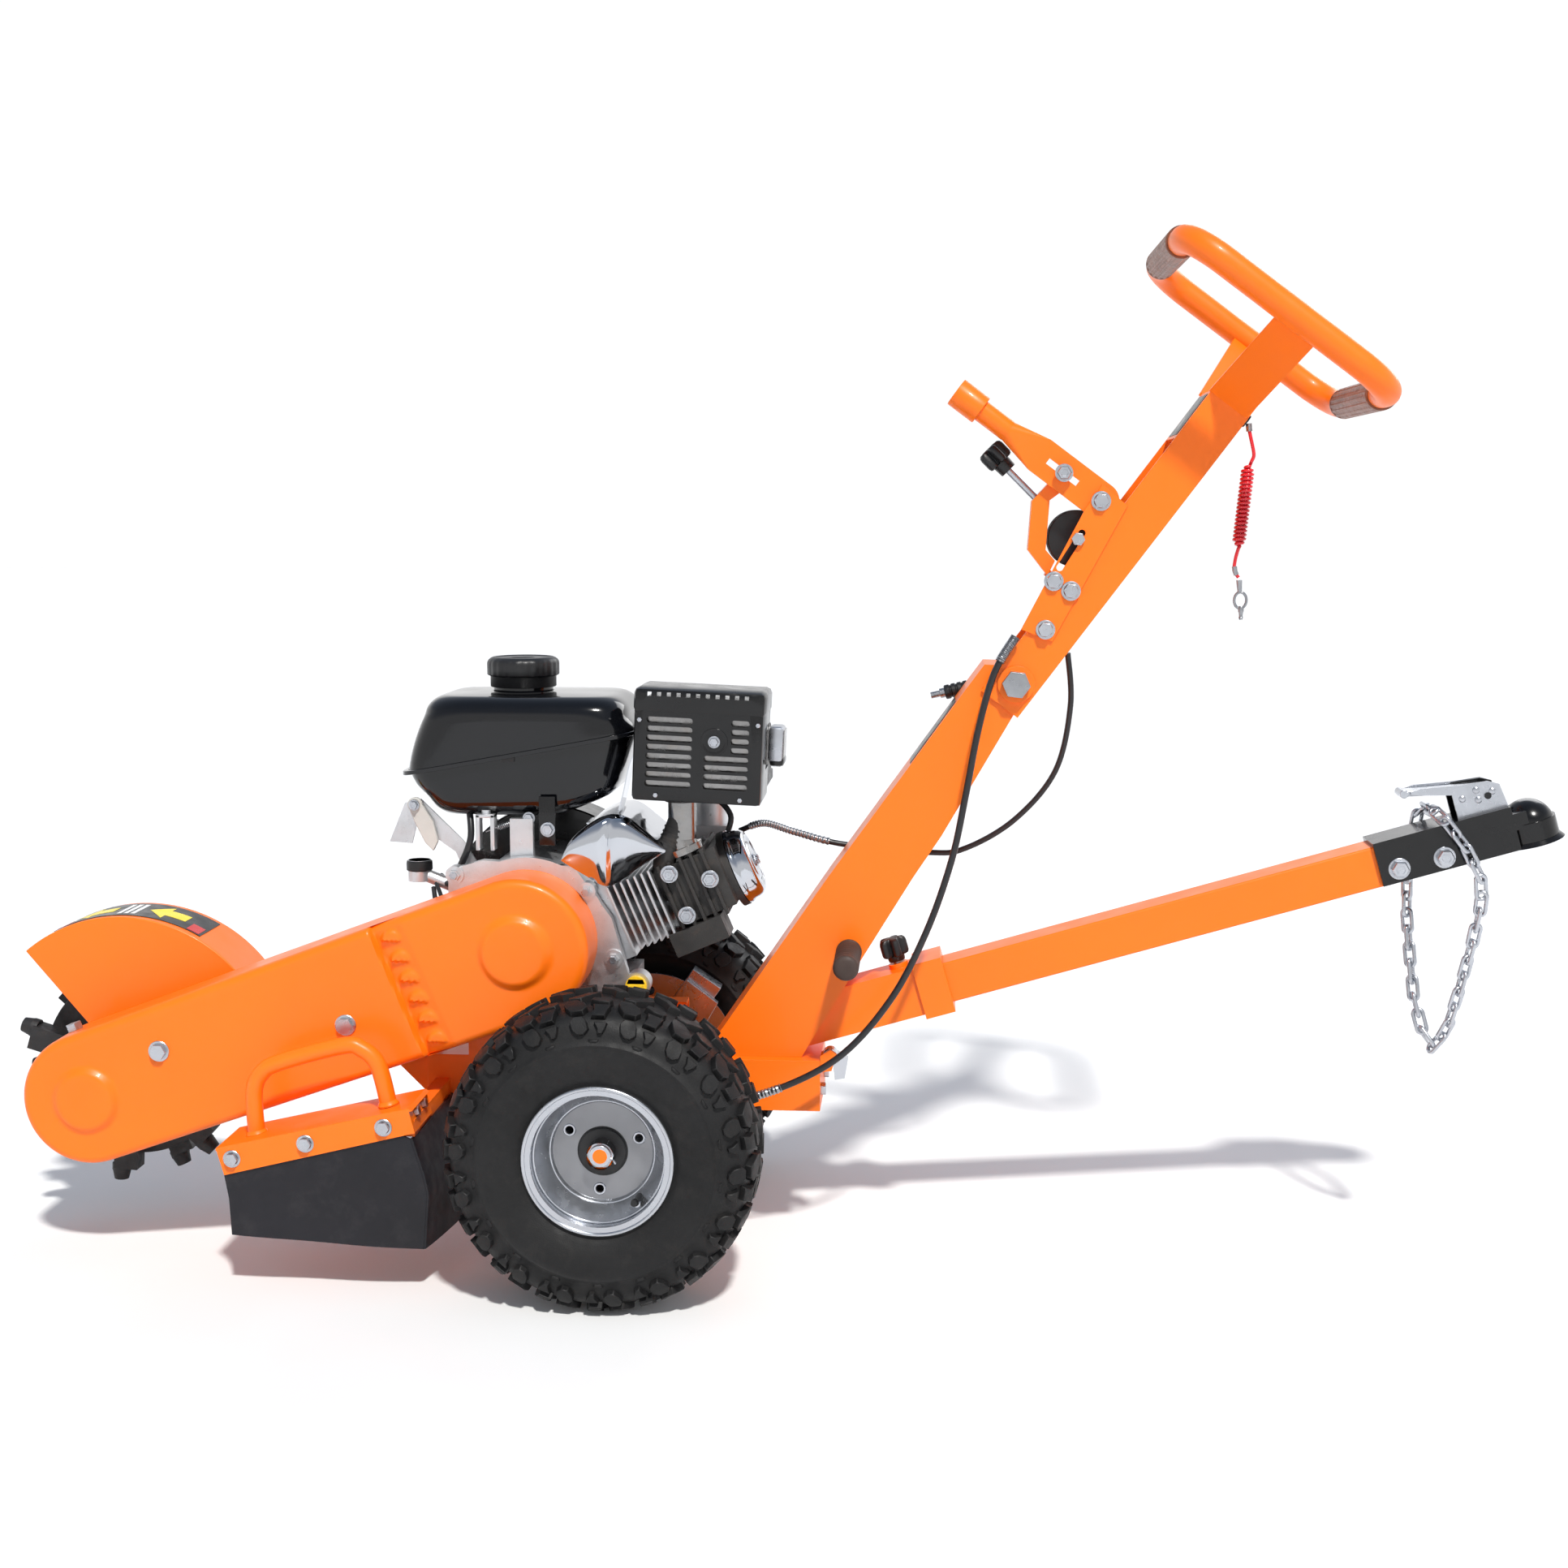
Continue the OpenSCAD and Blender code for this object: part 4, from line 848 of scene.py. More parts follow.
refine("arm_bolts", bevel=0.001,
       paint=[("orange_paint", lambda f: pivot_part(f, -0.0542, -0.0498, 0.03)),
              ("steel", lambda f: pivot_part(f, -0.07, -0.0543, 0.03) or pivot_part(f, 0.068, 0.085, 0.03))])
refine("engine_cylinder", bevel=0.0008,
       paint=[("pipe_black", lambda f: (ENG_INVERSE @ f.calc_center_median()).x > 0.186)])


# ---------------------------------------------------------------- rubber curtains
def lerp2(a, b, t):
    return (a[0] + (b[0] - a[0]) * t, a[1] + (b[1] - a[1]) * t)


def run(pts, t):
    """Point at a share t of a short polyline."""
    ls = [math.dist(pts[i], pts[i + 1]) for i in range(len(pts) - 1)]
    d = t * sum(ls)
    for i, q in enumerate(ls):
        if d <= q or i == len(ls) - 1:
            return lerp2(pts[i], pts[i + 1], min(1, d / q))
        d -= q


def sheet(b, place, nu, nv, thick):
    """Closed sheet from place(u, v), a point and its normal, with rounded thickness."""
    verts = []
    for s in (0, 1):
        for i in range(nu + 1):
            for k in range(nv + 1):
                p, n = place(i / nu, k / nv)
                verts.append(p + n * (thick * (s - 0.5)))
    b.add(verts, slab(nu, nv))


SIDE_EDGE = [(-226, 185), (-212, 140), (-208, 119), (-213, 54)]


def side_curtain(u, v):
    top = [(-447, 142), (-242, 192), (-226, 185)]
    bot = [(-438, 67), (-330, 60.5), (-213, 54)]
    lef = [(-447, 142), (-441, 110), (-438, 67)]
    t, bo, le, ri = run(top, u), run(bot, u), run(lef, v), run(SIDE_EDGE, v)
    c = [(1 - u) * (1 - v) * top[0][i] + u * (1 - v) * top[-1][i] + (1 - u) * v * bot[0][i] + u * v * bot[-1][i]
         for i in (0, 1)]
    x = (1 - v) * t[0] + v * bo[0] + (1 - u) * le[0] + u * ri[0] - c[0]
    z = (1 - v) * t[1] + v * bo[1] + (1 - u) * le[1] + u * ri[1] - c[1]
    bow = 5.0 * v * v * math.sin(math.pi * (0.15 + 0.8 * u)) + 1.6 * v * math.sin(9 * u + 1.0)
    return P(x, -245.5 - max(0.0, bow), z), Vector((0, -1, 0))


def rear_curtain(y0, y1, z_top, meets_side):
    def place(u, v):
        x = -219.5 + 28.0 * v
        z = z_top + (55 - z_top) * v
        if meets_side:
            ex, ez = run(SIDE_EDGE, v)
            near = (1 - u) ** 3
            x += (ex + 1.0 - x) * near
            z += (ez - z) * near
        bow = 2.2 * v * v * math.sin(math.pi * u) + 1.2 * v * math.sin(7 * u)
        return P(x - max(0, bow), y0 + (y1 - y0) * u, z), Vector((-0.978, 0, -0.206))
    return place


b = Build()
sheet(b, side_curtain, 40, 22, 0.003)
sheet(b, rear_curtain(-246.5, -63.5, 188, True), 26, 16, 0.003)
sheet(b, rear_curtain(63, 243, 206, False), 26, 16, 0.003)
b.make("v_rubber_curtains", "rubber", "chassis", ["rubber_curtains"], sharp=50)

# ---------------------------------------------------------------- lift handle, pegs, handle loop and grips
b = Build()
lift = spline([P(-416.4, -215, 177.5), P(-418, -215, 228), P(-408, -215, 251), P(-386, -215, 264),
               P(-312, -215, 285), P(-289, -215, 282), P(-270, -215, 263), P(-258.3, -215, 215.5)], 8)
b.tube(lift, 0.01, 28)
for p, q in ((lift[0], lift[1]), (lift[-1], lift[-2])):
    m = turned(p + (q - p).normalized() * 0.0012, -12.9, "Y")
    b.lathe([(0.0098, 0.0046), (0.0112, 0.0032), (0.0128, 0.0006), (0.0126, -0.001), (0.009, -0.001)], m, 32)
b.make("v_lift_handle", "orange_paint", "chassis", ["lift_handle"])

b = Build()
for s in (-1, 1):
    m = turned(P(270, 0, 369), -90 * s, "X")
    prof = [(0.0078, 0.0345), (0.0078, 0.0452), (0.0152, 0.0452), (0.0158, 0.0462), (0.0158, 0.05)]
    z = 0.0515
    while z < 0.128:
        prof += [(0.0143, z), (0.0143, z + 0.0022), (0.0154, z + 0.003), (0.0154, z + 0.0066)]
        z += 0.008
    prof += [(0.0143, 0.1315), (0.0154, 0.1325), (0.0154, 0.136), (0.0148, 0.1385), (0.0128, 0.1405),
             (0.009, 0.1412), (0.0001, 0.1413)]
    b.lathe(prof, m, 40)
b.make("v_foot_pegs", "peg_rubber", "chassis", ["foot_pegs"], sharp=40)

LOOP_X, BEND, BAR_R = 509, 50, 16  # the loop's plane, its bend radius and its bar's radius, in mm
CROSS, TOP, BOTTOM = 126.0, 110, -73  # the bends' centres: across, and the two along the plane
b = Build()
loop_pts = []
for cy, ct, a0 in ((CROSS, TOP, 0), (-CROSS, TOP, 90), (-CROSS, BOTTOM, 180), (CROSS, BOTTOM, 270)):
    for k in range(13):
        q = math.radians(a0 + 90 * k / 12)
        loop_pts.append(at(ARM, LOOP_X, cy + BEND * math.cos(q), ct + BEND * math.sin(q)))
    if a0 in (0, 180):
        for k in range(1, 8):
            loop_pts.append(at(ARM, LOOP_X, (cy - (2 * cy) * k / 8), ct + (BEND if ct > 0 else -BEND)))
    else:
        for k in range(1, 6):
            down = (BOTTOM - TOP) * k / 6 * (1 if ct > 0 else -1)
            loop_pts.append(at(ARM, LOOP_X, cy + (BEND if cy > 0 else -BEND), ct + down))
verts = []
nx = along(ARM, 1, 0, 0).normalized()
for i, p in enumerate(loop_pts):
    t = (loop_pts[(i + 1) % len(loop_pts)] - loop_pts[i - 1]).normalized()
    u = t.cross(nx).normalized()
    for k in range(32):
        q = 2 * math.pi * k / 32
        verts.append(p + (nx * math.cos(q) + u * math.sin(q)) * (BAR_R / 1000))
b.add(verts, wall(len(loop_pts), 32, closed=True))
b.make("v_handle_loop", "orange_paint", "arm", ["handle_loop"])


def grip(b, t, n=96):
    """Moulded sleeve with long ribs and plain collars round the loop's short side."""
    m = ARM @ turned(Vector((0.509, 0, t / 1000)), 90, "X")
    stations = [(-0.108, 0.01605, 0), (-0.108, 0.018, 0), (-0.1072, 0.0186, 0), (-0.1035, 0.0186, 0),
                (-0.1028, 0.018, 0.3), (-0.1, 0.0181, 1)]
    stations += [(-0.1 + 0.2 * k / 20, 0.0181, 1) for k in range(1, 20)]
    stations += [(0.1, 0.0181, 1), (0.1028, 0.018, 0.3), (0.1035, 0.0186, 0), (0.1072, 0.0186, 0),
                 (0.108, 0.018, 0), (0.108, 0.01605, 0)]
    verts = []
    for z, r, w in stations:
        for k in range(n):
            q = 2 * math.pi * k / n
            rr = r + w * 0.0006 * (1 if (k // 3) % 2 == 0 else -1)
            verts.append((rr * math.cos(q), rr * math.sin(q), z))
    b.add(verts, wall(len(stations), n), m)


b = Build()
grip(b, -123)
grip(b, 160)
b.make("v_handle_grips", "grip_brown", "arm", ["handle_grips"], sharp=40, slot=NODE_SLOT["handle_grips"])

# ---------------------------------------------------------------- fuel tank and cap
def rounded(hx, hy, n, power):
    """Rounded rectangle of half widths hx and hy; a higher power gives tighter corners."""
    out = []
    for k in range(n):
        q = 2 * math.pi * k / n
        c, s = math.cos(q), math.sin(q)
        g = (abs(c) ** power + abs(s) ** power) ** (-1 / power)
        out.append((hx * c * g, hy * s * g))
    return out


def tank_ring(cx, cy, hx, hy, z, tilt, power=6.5, n=128):
    return [P(cx + x, cy + y, z + tilt * (cx + x + 131.5)) for x, y in rounded(hx, hy, n, power)]


def loft(b, rings, cap0=True, cap1=True):
    n = len(rings[0])
    verts = [p for r in rings for p in r]
    faces = wall(len(rings), n)
    for on, i in ((cap0, 0), (cap1, len(rings) - 1)):
        if on:
            c = sum(rings[i], Vector()) / n
            verts.append(c)
            for k in range(n):
                faces.append([i * n + k, i * n + (k + 1) % n, len(verts) - 1])
    b.add(verts, faces)


TILT = math.tan(math.radians(10.3))
b = Build()
rings = []
for k in range(9):
    t = k / 8
    s = math.sin(t * math.pi / 2) ** 1.15
    z = 612.5 + (653 - 612.5) * t
    rings.append(tank_ring(-131.5 + 5.5 * t, 30, 141 - 14 * t ** 1.7 - 1 * s, 97 - 1 * t, z, TILT * (1 - t) ** 1.1))
for k in range(1, 10):
    q = math.pi / 2 * k / 9
    rings.append(tank_ring(-126, 30, 126 - 26 * (1 - math.cos(q)), 96 - 26 * (1 - math.cos(q)),
                           653 + 25 * math.sin(q), 0, 5.6))
rings.append(tank_ring(-126, 30, 78, 52, 678.9, 0, 4.5))
rings.append(tank_ring(-126, 30, 40, 28, 679.4, 0, 3.5))
loft(b, list(reversed(rings)), True, False)
rings = []
for z, g in ((612.5, -1.0), (612.6, 4.0), (612.2, 4.8), (607.6, 4.8), (607.3, 4.0), (607.2, -3.5)):
    rings.append(tank_ring(-131.5, 30, 143 + g, 98 + g, z, TILT))
loft(b, rings, False, False)
rings = []
LOWER = [(607.2, -271, 8.0, 94.5), (598, -269.5, 3.0, 94.6), (588, -267, -2, 94.7), (578, -264, -6.5, 94.8),
         (570, -260, -10, 94.9), (563, -255.5, -14.5, 95), (557, -251, -23, 94.5), (552, -247.5, -34, 93.5),
         (547, -244, -46, 91.5), (542, -240, -58, 88.5), (538, -235, -68, 84.5), (535, -230, -76, 80),
         (533.2, -224, -84, 74)]
for z, left, right, hy in LOWER:
    lean = max(0.0, (z - 554) / 53.2) ** 1.2
    rings.append(tank_ring((left + right) / 2, 30, (right - left) / 2, hy, z, TILT * lean, 6.0))
loft(b, rings, False, True)
nm = Matrix.Translation(P(-142, 40, 0))
b.lathe([(0.0405, 0.6755), (0.0395, 0.679), (0.037, 0.6805), (0.037, 0.6925), (0.0362, 0.6938),
         (0.0308, 0.6938), (0.03, 0.693), (0.03, 0.67)], nm, 64)
b.make("v_fuel_tank", "tank_black", "chassis", ["fuel_tank"], sharp=38)
b = Build()
b.box(P(-150, -66.4, 601), P(-134, -65.5, 614), bevel=0.0002)
b.make("tank_mark", "black_plastic", "chassis")

b = Build()
n = 120
prof = [(0.0372, 0.684, 0), (0.0402, 0.684, 0), (0.041, 0.6848, 0), (0.041, 0.6968, 0), (0.042, 0.698, 0),
        (0.0436, 0.6984, 0.5), (0.0444, 0.6996, 1), (0.0444, 0.713, 1), (0.044, 0.7156, 0.8), (0.0428, 0.7178, 0.3),
        (0.0405, 0.7196, 0), (0.038, 0.7208, 0), (0.0345, 0.721, 0), (0.0335, 0.7202, 0), (0.015, 0.7202, 0),
        (0.014, 0.7208, 0), (0.0001, 0.7208, 0)]
verts = []
for r, z, w in prof:
    for k in range(n):
        q = 2 * math.pi * k / n
        rr = r + w * 0.0011 * (abs(math.cos(12 * q)) - 0.5)
        verts.append((rr * math.cos(q), rr * math.sin(q), z))
b.add(verts, wall(len(prof), n), nm)
b.lathe([(0.0371, 0.684), (0.0371, 0.6954), (0.0001, 0.6954)], nm, 48)
b.make("v_fuel_cap", "black_plastic", "fuel_cap", ["fuel_cap"], sharp=45)


# ---------------------------------------------------------------- muffler guard
def cut(target, cutters):
    """Takes the cutters' volume out of target for good."""
    bpy.ops.object.select_all(action="DESELECT")
    for c in cutters:
        md = target.modifiers.new("cut", "BOOLEAN")
        md.operation = "DIFFERENCE"
        md.solver = "EXACT"
        md.object = c
        bpy.context.view_layer.objects.active = target
        bpy.ops.object.modifier_apply(modifier=md.name)
    for c in cutters:
        bpy.data.objects.remove(c, do_unlink=True)


def raw(b, name):
    """The shapes so far as a plain object, with an empty Build to go on with."""
    return mesh_object(name, b.v, b.f), Build()


def squares(b, z0, z1):
    """The row of square holes under the guard's top edge."""
    for i in range(11):
        b.box(mm(-62 + 11.5 * i, -118, z0), mm(-57 + 11.5 * i, -104, z1), CAN)


b = Build()
b.box(mm(-77, -113, -67), mm(77, -16, 67), CAN, 0.006)
guard, b = raw(b, "v_muffler_guard")
b.box(mm(-74.6, -110.6, -80), mm(74.6, -5, 64.6), CAN, 0.004)
hollow, b = raw(b, "hollow")
for i in range(8):
    z = -45 + 10.8 * i
    for x0, x1 in ((-62, -7), (38 if i > 3 else 7, 60)):
        b.box(mm(x0, -116, z - 3.9), mm(x1, -106, z + 3.9), CAN, 0.0034)
squares(b, 58, 64)
b.box(mm(70, -66, -28), mm(84, -18, 26), CAN, 0.004)
b.tube([at(CAN, 19, -116, 8), at(CAN, 19, -106, 8)], 0.004, 24)
slots, b = raw(b, "slots")
cut(guard, [hollow, slots])
guard.data.materials.clear()
finished(guard, "black_paint", "chassis", 35, ["muffler_guard"])

dm = CAN @ turned(Vector(mm(19, -113, 8)), 90, "X")
b.lathe([(0.0165, -0.0006), (0.016, 0.0006), (0.0135, 0.0007), (0.0115, -0.0002), (0.0062, -0.0003),
         (0.0042, -0.0003)], dm, 40)
b.make("guard_dimple", "black_paint", "chassis")
b = Build()
b.box(mm(-78.2, -114.4, 37), mm(78.2, -15, 68.2), CAN, 0.007)
lid, b = raw(b, "guard_lid")
b.box(mm(-76.9, -113.1, 20), mm(76.9, -13, 66.9), CAN, 0.006)
inside, b = raw(b, "inside")
squares(b, 58.5, 63.5)
holes, b = raw(b, "squares")
cut(lid, [inside, holes])
lid.data.materials.clear()
finished(lid, "black_paint", "chassis", 35)
b = Build()
b.hexbolt(at(CAN, 19, -113.2, 8), along(CAN, 0, -1, 0), 0.0058, 0.0046)
for x, z in ((-48, -58.5), (52, -59.5), (-70, 30), (70, 30)):
    b.hexbolt(at(CAN, x, -113.1, z), along(CAN, 0, -1, 0), 0.003, 0.0022, False)
b.make("guard_bolts", "zinc", "chassis")

# ---------------------------------------------------------------- valve cover and cylinder shroud
vm = ENG @ turned(Vector(mm(270, 0, 2)), 90, "Y")
b = Build()
b.lathe([(0.0001, 0.0002), (0.0455, 0.0002), (0.047, 0.0012), (0.047, 0.005), (0.0452, 0.0066), (0.044, 0.009),
         (0.0432, 0.015), (0.0414, 0.0196), (0.0385, 0.0228), (0.0345, 0.024), (0.0325, 0.0236), (0.031, 0.0224),
         (0.024, 0.0222), (0.0225, 0.0236), (0.0205, 0.0242), (0.012, 0.0243), (0.0105, 0.0234), (0.0001, 0.0234)],
        vm, 96)
b.make("v_valve_cover", "chrome", "chassis", ["valve_cover"], sharp=50)
b = Build()
b.hexbolt(vm @ Vector((0, 0, 0.0234)), along(vm, 0, 0, 1), 0.0065, 0.0045)
b.make("valve_cover_bolt", "zinc", "chassis")


def eased(pts):
    """Smooth outline through (x, z) points."""
    return [(p.x, p.y) for p in spline([Vector((x, z, 0)) for x, z in pts], 8)]


SHROUD_TOP = eased([(89, 99), (110, 117), (150, 127), (178, 119), (196, 90), (210, 62)])
SHROUD_FOOT = eased([(89, 98), (108, 72), (126, 50), (150, 50), (170, 55), (208, 60)])


def shroud(u, v):
    t, bo = run(SHROUD_TOP, u), run(SHROUD_FOOT, u)
    turn = 0.62
    if v < turn:
        k = v / turn
        x, z = lerp2(bo, t, math.sin(k * math.pi / 2) ** 1.1)
        crease = math.exp(-((u - 0.42 - 0.1 * k) / 0.035) ** 2)
        y = -73 - 11.0 * math.sin(math.pi * min(1, k * 1.1)) * math.sin(math.pi * u) ** 0.7
        y += 108 * max(0, k - 0.72) ** 2 + 5.0 * crease * math.sin(math.pi * k)
    else:
        k = (v - turn) / (1 - turn)
        x, z = t
        y = -64.5 + 123.5 * k
        z += 1.2 * math.sin(math.pi * k)
    return Vector(mm(x, y, z))


def shroud_place(u, v):
    p = shroud(u, v)
    du = shroud(min(1, u + 0.02), v) - shroud(max(0, u - 0.02), v)
    dv = shroud(u, min(1, v + 0.02)) - shroud(u, max(0, v - 0.02))
    n = du.cross(dv)
    n = n.normalized() if n.length > 1e-9 else Vector((0, -1, 0))
    return ENG @ p, ENG.to_3x3() @ n


b = Build()
sheet(b, shroud_place, 72, 56, 0.0016)
b.make("v_cylinder_shroud", "chrome", "chassis", ["cylinder_shroud"], sharp=60)

# ---------------------------------------------------------------- safety chain
ROUTE = [P(968, -20, 545), P(978, -38, 535), P(1000, -41, 508), P(1020, -41, 470), P(1023, -38, 440),
         P(1017, -30, 390), P(1006, -22, 330), P(995, -14, 280), P(982, -6, 254), P(970, 2, 270), P(960, 12, 310),
         P(956, 24, 360), P(953, 36, 410), P(953, 42, 450), P(957, 41, 500), P(962, 38, 535), P(966, 20, 545),
         P(968, -20, 545)]
ROUTE_LEN = [0.0]
for i in range(1, len(ROUTE)):
    ROUTE_LEN.append(ROUTE_LEN[-1] + (ROUTE[i] - ROUTE[i - 1]).length)


def route_at(d):
    i = 0
    while i < len(ROUTE) - 2 and ROUTE_LEN[i + 1] <= d:
        i += 1
    return ROUTE[i] + (ROUTE[i + 1] - ROUTE[i]).normalized() * (d - ROUTE_LEN[i])


b = Build()
LINKS = 33
pitch = ROUTE_LEN[-1] / LINKS
for i in range(LINKS):
    p = route_at((i + 0.5) * pitch)
    v = (route_at((i + 0.9) * pitch) - route_at((i + 0.1) * pitch)).normalized()
    m = (Matrix.Translation(p) @ Matrix.Rotation(math.atan2(v.y, v.x), 4, "Z")
         @ Matrix.Rotation(math.acos(max(-1, min(1, v.z))) - math.pi / 2, 4, "Y")
         @ Matrix.Rotation(math.radians(40 if i % 2 == 0 else -50), 4, "X"))
    verts = []
    nr, nk = 28, 12
    for a in range(nr):
        q = 2 * math.pi * (a + 0.5) / nr
        cx = 0.0059 * math.cos(q) + (0.009 if math.cos(q) > 0 else -0.009)
        cy = 0.0059 * math.sin(q)
        for k in range(nk):
            w = 2 * math.pi * k / nk
            verts.append((cx + 0.0025 * math.cos(q) * math.cos(w), cy + 0.0025 * math.sin(q) * math.cos(w),
                          0.0025 * math.sin(w)))
    b.add(verts, wall(nr, nk, closed=True), m)
b.make("v_safety_chain", "zinc", "tow_bar", ["safety_chain"])

# ---------------------------------------------------------------- lock lever with its ribbed sleeve
b = Build()
lm = turned(P(467.5, 0, 697.3), -90, "X")
b.lathe([(0.01007, 0.052), (0.0168, 0.052), (0.018, 0.0532), (0.018, 0.0678), (0.0168, 0.069),
         (0.01007, 0.069), (0.01007, 0.052)], lm, 48)
b.tube([P(455, 60, 694.3), P(420, 60, 686), P(378, 60, 676)], 0.006, 20)
b.tube([P(366.7, 60, 673.3), P(379, 60, 676.2)], 0.004, 16)
b.make("v_lock_lever", "steel", "lock_lever", ["lock_lever"], slot="black_plastic")
b = Build()
gm = facing(P(384, 60, 677.4), (P(425, 60, 687.1) - P(384, 60, 677.4)).normalized())
prof = [(0.0061, 0.0), (0.008, 0.0), (0.0088, 0.001)]
z = 0.002
while z < 0.038:
    prof += [(0.009, z), (0.009, z + 0.0042), (0.0076, z + 0.0052), (0.0076, z + 0.0062)]
    z += 0.0075
prof += [(0.0088, z), (0.008, z + 0.001), (0.0061, z + 0.001)]
b.lathe(prof, gm, 36)
b.make("lock_lever_sleeve", "black_plastic", "lock_lever")

# ---------------------------------------------------------------- engine small parts
b = Build()
pipe = spline([P(69, -63, 566), P(68, -64, 540), P(60, -66, 516), P(50, -68, 492), P(46, -66, 462),
               P(50, -52, 440)], 8)
b.tube(pipe, 0.0138, 28)
for k in (14, 16, 18, 20):
    b.tube([pipe[k].lerp(pipe[k + 1], 0.2), pipe[k].lerp(pipe[k + 1], 0.8)], 0.0148, 28)
b.lathe([(0.0135, -0.002), (0.0205, -0.002), (0.0215, -0.001), (0.0215, 0.003), (0.0205, 0.004), (0.0135, 0.004)],
        Matrix.Translation(P(69, -63, 557)), 32)
b.make("exhaust_elbow", "pipe_black", "chassis", slot="black_paint")

# bright bent shield between the tank and the muffler guard
SHIELD = eased([(11, 611), (5, 596), (-3, 560), (-12, 533), (-24, 528), (-47, 527)])


def shield_place(u, v):
    x, z = run(SHIELD, v)
    x1, z1 = run(SHIELD, min(1, v + 0.02))
    x0, z0 = run(SHIELD, max(0, v - 0.02))
    dx, dz = x1 - x0, z1 - z0
    d = math.hypot(dx, dz)
    return P(x, -66 + 44 * u, z), Vector((-dz / d, 0, dx / d))


b = Build()
sheet(b, shield_place, 6, 40, 0.0014)
b.make("heat_shield", "chrome", "chassis")

b = Build()
b.box(mm(79, -64, -18), mm(97, -22, 24), CAN, 0.004)
b.make("outlet_shell", "zinc", "chassis")
b = Build()
b.box(mm(80, -62, -24), mm(99, -24, -10), CAN, 0.005)
b.make("outlet_mouth", "black_paint", "chassis")

# governor spring, its hooks and the linkage above the cover
b = Build()
s0, s1 = P(-158, -58, 519), P(-126, -58, 530)
coil = helix_between(s0, s1, 0.0032, 15, 14)
b.tube([P(-172, -58, 514)] + coil + [P(-118, -58, 532)], 0.0007, 8)
b.make("governor_spring", "steel", "chassis")
b = Build()
b.hexbolt(P(-118, -62, 532), (0, -1, 0), 0.0062, 0.0046)
b.hexbolt(P(-93, -73, 520), (0, -1, 0), 0.0072, 0.0052)
b.hexbolt(P(-262, -50.2, 545), (0, -1, 0), 0.0055, 0.004)
b.make("linkage_bolts", "zinc", "chassis")
b = Build()
for lo, hi in (((-183, -66, 492), (-178, -48, 536)), ((-165, -66, 492), (-160, -48, 536)),
               ((-183, -66, 532), (-160, -48, 536.5))):
    b.box(P(*lo), P(*hi), bevel=0.0008)
b.tube([P(-171.5, -57, 536), P(-171.5, -57, 541)], 0.0055, 20)
b.make("linkage_yoke", "cast_alu", "chassis")
b = Build()
b.box(P(-104, -72.5, 500), P(-84, -69.5, 560), bevel=0.0009)
b.lathe([(0.0001, 0), (0.0085, 0), (0.0085, 0.026), (0.0078, 0.028), (0.0001, 0.028)],
        Matrix.Translation(P(-128, -57, 486)), 24)
b.tube([P(-160, -30, 534), P(-160, -30, 548)], 0.009, 20)
b.make("tank_stays", "black_paint", "chassis")

# hoses and leads beside the crankcase
b = Build()
b.tube(spline([P(-238, -20, 452), P(-222, -40, 446), P(-206, -52, 470), P(-192, -54, 505), P(-196, -40, 540)], 8),
       0.0042, 12)
b.tube(spline([P(-244, -34, 440), P(-236, -58, 412), P(-240, -70, 388), P(-252, -66, 356)], 8), 0.003, 12)
b.tube(spline([P(-240, -36, 446), P(-226, -60, 420), P(-232, -72, 392), P(-246, -70, 352)], 8), 0.0026, 12)
b.make("engine_hoses", "cable_jacket", "chassis")
b = Build()
b.lathe([(0.0001, 0.026), (0.0135, 0.026), (0.0155, 0.0246), (0.016, 0.022), (0.016, 0.014), (0.0148, 0.0128),
         (0.0141, 0.0128)], Matrix.Translation(P(-262, -30, 448)), 40)
b.make("oil_filler_cap", "black_plastic", "chassis")

# spark plug lead
b = Build()
b.tube(spline([at(ENG, 262, 26, 34), at(ENG, 284, 30, 62), at(ENG, 262, 44, 98), at(ENG, 206, 60, 112)], 8),
       0.0036, 12)
b.make("spark_lead", "cable_jacket", "chassis")

# flanged bolts on the crankcase cover ears and the cylinder head
b = Build()
for x, z in ((-204, 466), (-3, 296), (-12, 366), (-44, 448)):
    b.hexbolt(P(x, -98.1, z), (0, -1, 0), 0.0052, 0.0022, False)
for x, z in ((203, 34), (246, 10), (203, -20)):
    d = along(ENG, 0, -1, 0)
    b.hexbolt(at(ENG, x, -74.6, z), d, 0.0086, 0.0062)
b.make("head_bolts", "zinc", "chassis")

# cable end fittings: spring ferrules where each cable leaves its bracket
for name, route, r, body in (("brake_upper_end", brake_route[:10], 0.0058, "arm"),
                             ("brake_lower_end", brake_route[-16:], 0.0052, "chassis"),
                             ("throttle_lower_end", throttle_route[-34:-6], 0.0046, "chassis")):
    b = Build()
    pts = spline(route, 8)
    b.tube(pts, r, 14, r_of=lambda f: 1.0 + 0.09 * math.sin(f * math.pi * 2 * 26))
    b.make(name, "steel", body, slot="zinc")

# ---------------------------------------------------------------- washers on the arm's bolts, decals
b = Build()
for s, t in ((123, 39), (126, 16), (72, 12), (230, 52)):
    b.washer(facing(at(ARM, s, -54.1, t), along(ARM, 0, -1, 0)), 0.0085, 0.0115, 0.0018)
b.make("arm_washers", "zinc", "arm")
b = Build()
for y, inner, outer, height, places in (
        (-165.1, 0.0088, 0.0127, 0.0018, ((-549.4, 261.3), (-321.4, 297.2))),
        (-250.1, 0.0075, 0.0103, 0.0016, ((-435, 158), (-348, 178), (-256, 199)))):
    for x, z in places:
        b.washer(turned(P(x, y, z), 90, "X"), inner, outer, height)
b.make("guard_washers", "zinc", "chassis")

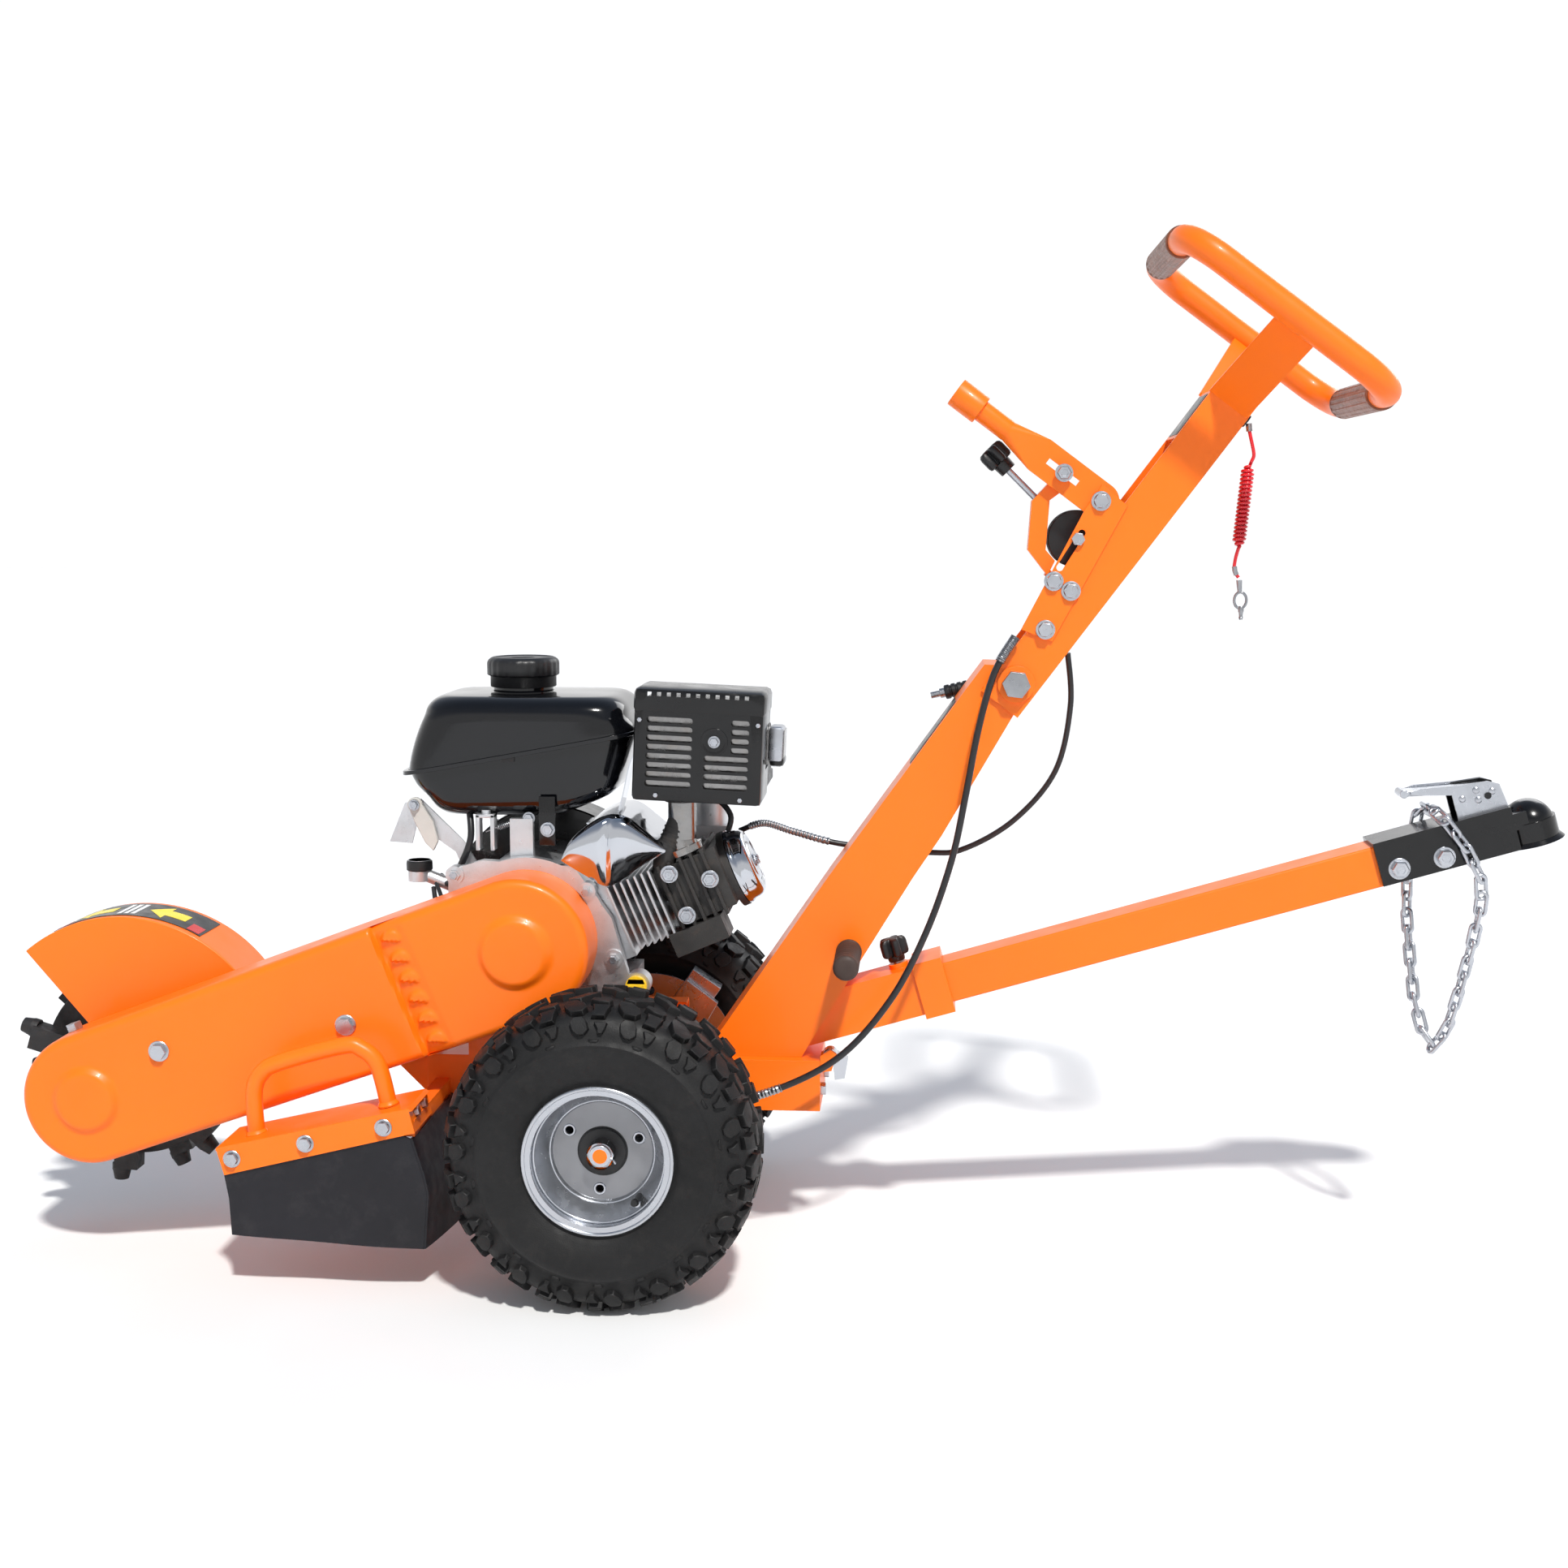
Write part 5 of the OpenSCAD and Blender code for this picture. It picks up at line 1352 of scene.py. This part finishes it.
b = Build()
for x, z in ((557, -7.7), (611.4, -8.7)):
    for side in (-1, 1):
        b.hexbolt(at(TOW, x, side * 29.2, z), along(TOW, 0, side, 0), 0.0104, 0.0088)
b.make("coupler_bolts", "zinc", NODE_BODY["coupler"])
b = Build()
cheek = [(640, 29), (700, 29), (696, 58), (684, 65), (650, 69), (606, 77), (594, 76), (594, 72), (640, 59.5)]
for side in (-1, 1):
    verts = [at(TOW, x, side * y, z) for y in (18.4, 20.2) for x, z in cheek]
    n = len(cheek)
    faces = [list(range(n)), list(range(n, 2 * n))]
    faces += [[k, (k + 1) % n, (k + 1) % n + n, k + n] for k in range(n)]
    b.add(verts, faces)
    for x, z in ((650, 52), (668, 46), (686, 52), (668, 58)):
        m = facing(at(TOW, x, side * 20.1, z), along(TOW, 0, side, 0))
        b.lathe([(0.0042, 0.0), (0.004, 0.0012), (0.0026, 0.0022), (0.0001, 0.0025)], m, 20)
b.make("latch_cheeks", "zinc", NODE_BODY["coupler"], sharp=30)
b = Build()
b.hexbolt(at(ARM, 230, -57.0, 106.5), along(ARM, 0, -1, 0), 0.0085, 0.0065)
b.make("lever_slot_bolt", "zinc", NODE_BODY["brake_lever"])
b = Build()
b.lathe([(0.0128, 0.188), (0.0129, 0.189), (0.0129, 0.2276), (0.0166, 0.2276), (0.0174, 0.2284), (0.0174, 0.2634),
         (0.0168, 0.2643), (0.0146, 0.2645), (0.0134, 0.2638), (0.0131, 0.262), (0.0131, 0.235), (0.0001, 0.235)],
        ARM @ Matrix.Translation(Vector((0.23, -0.0457, 0))), 48)
b.make("brake_lever_sleeve", "orange_paint", NODE_BODY["brake_lever"], sharp=40)

mx = (Vector((408, 690)) - Vector((245, 462)))
ml = mx.length
mast_m = Matrix.Translation(P(245, 0, 462)) @ Matrix.Rotation(-math.atan2(mx.y, mx.x), 4, "Y")
b = Build()
b.box(mm(ml * 0.6, -31, 0.2), mm(ml * 0.93, 31, 0.7), mast_m, 0.0002)
b.make("mast_strip", "label_black", "chassis", slot="black_paint")
b = Build()
b.box(mm(344, -40, 28.1), mm(402, 40, 28.6), ARM, 0.0002)
b.make("arm_strip", "label_black", "arm", slot="black_paint")
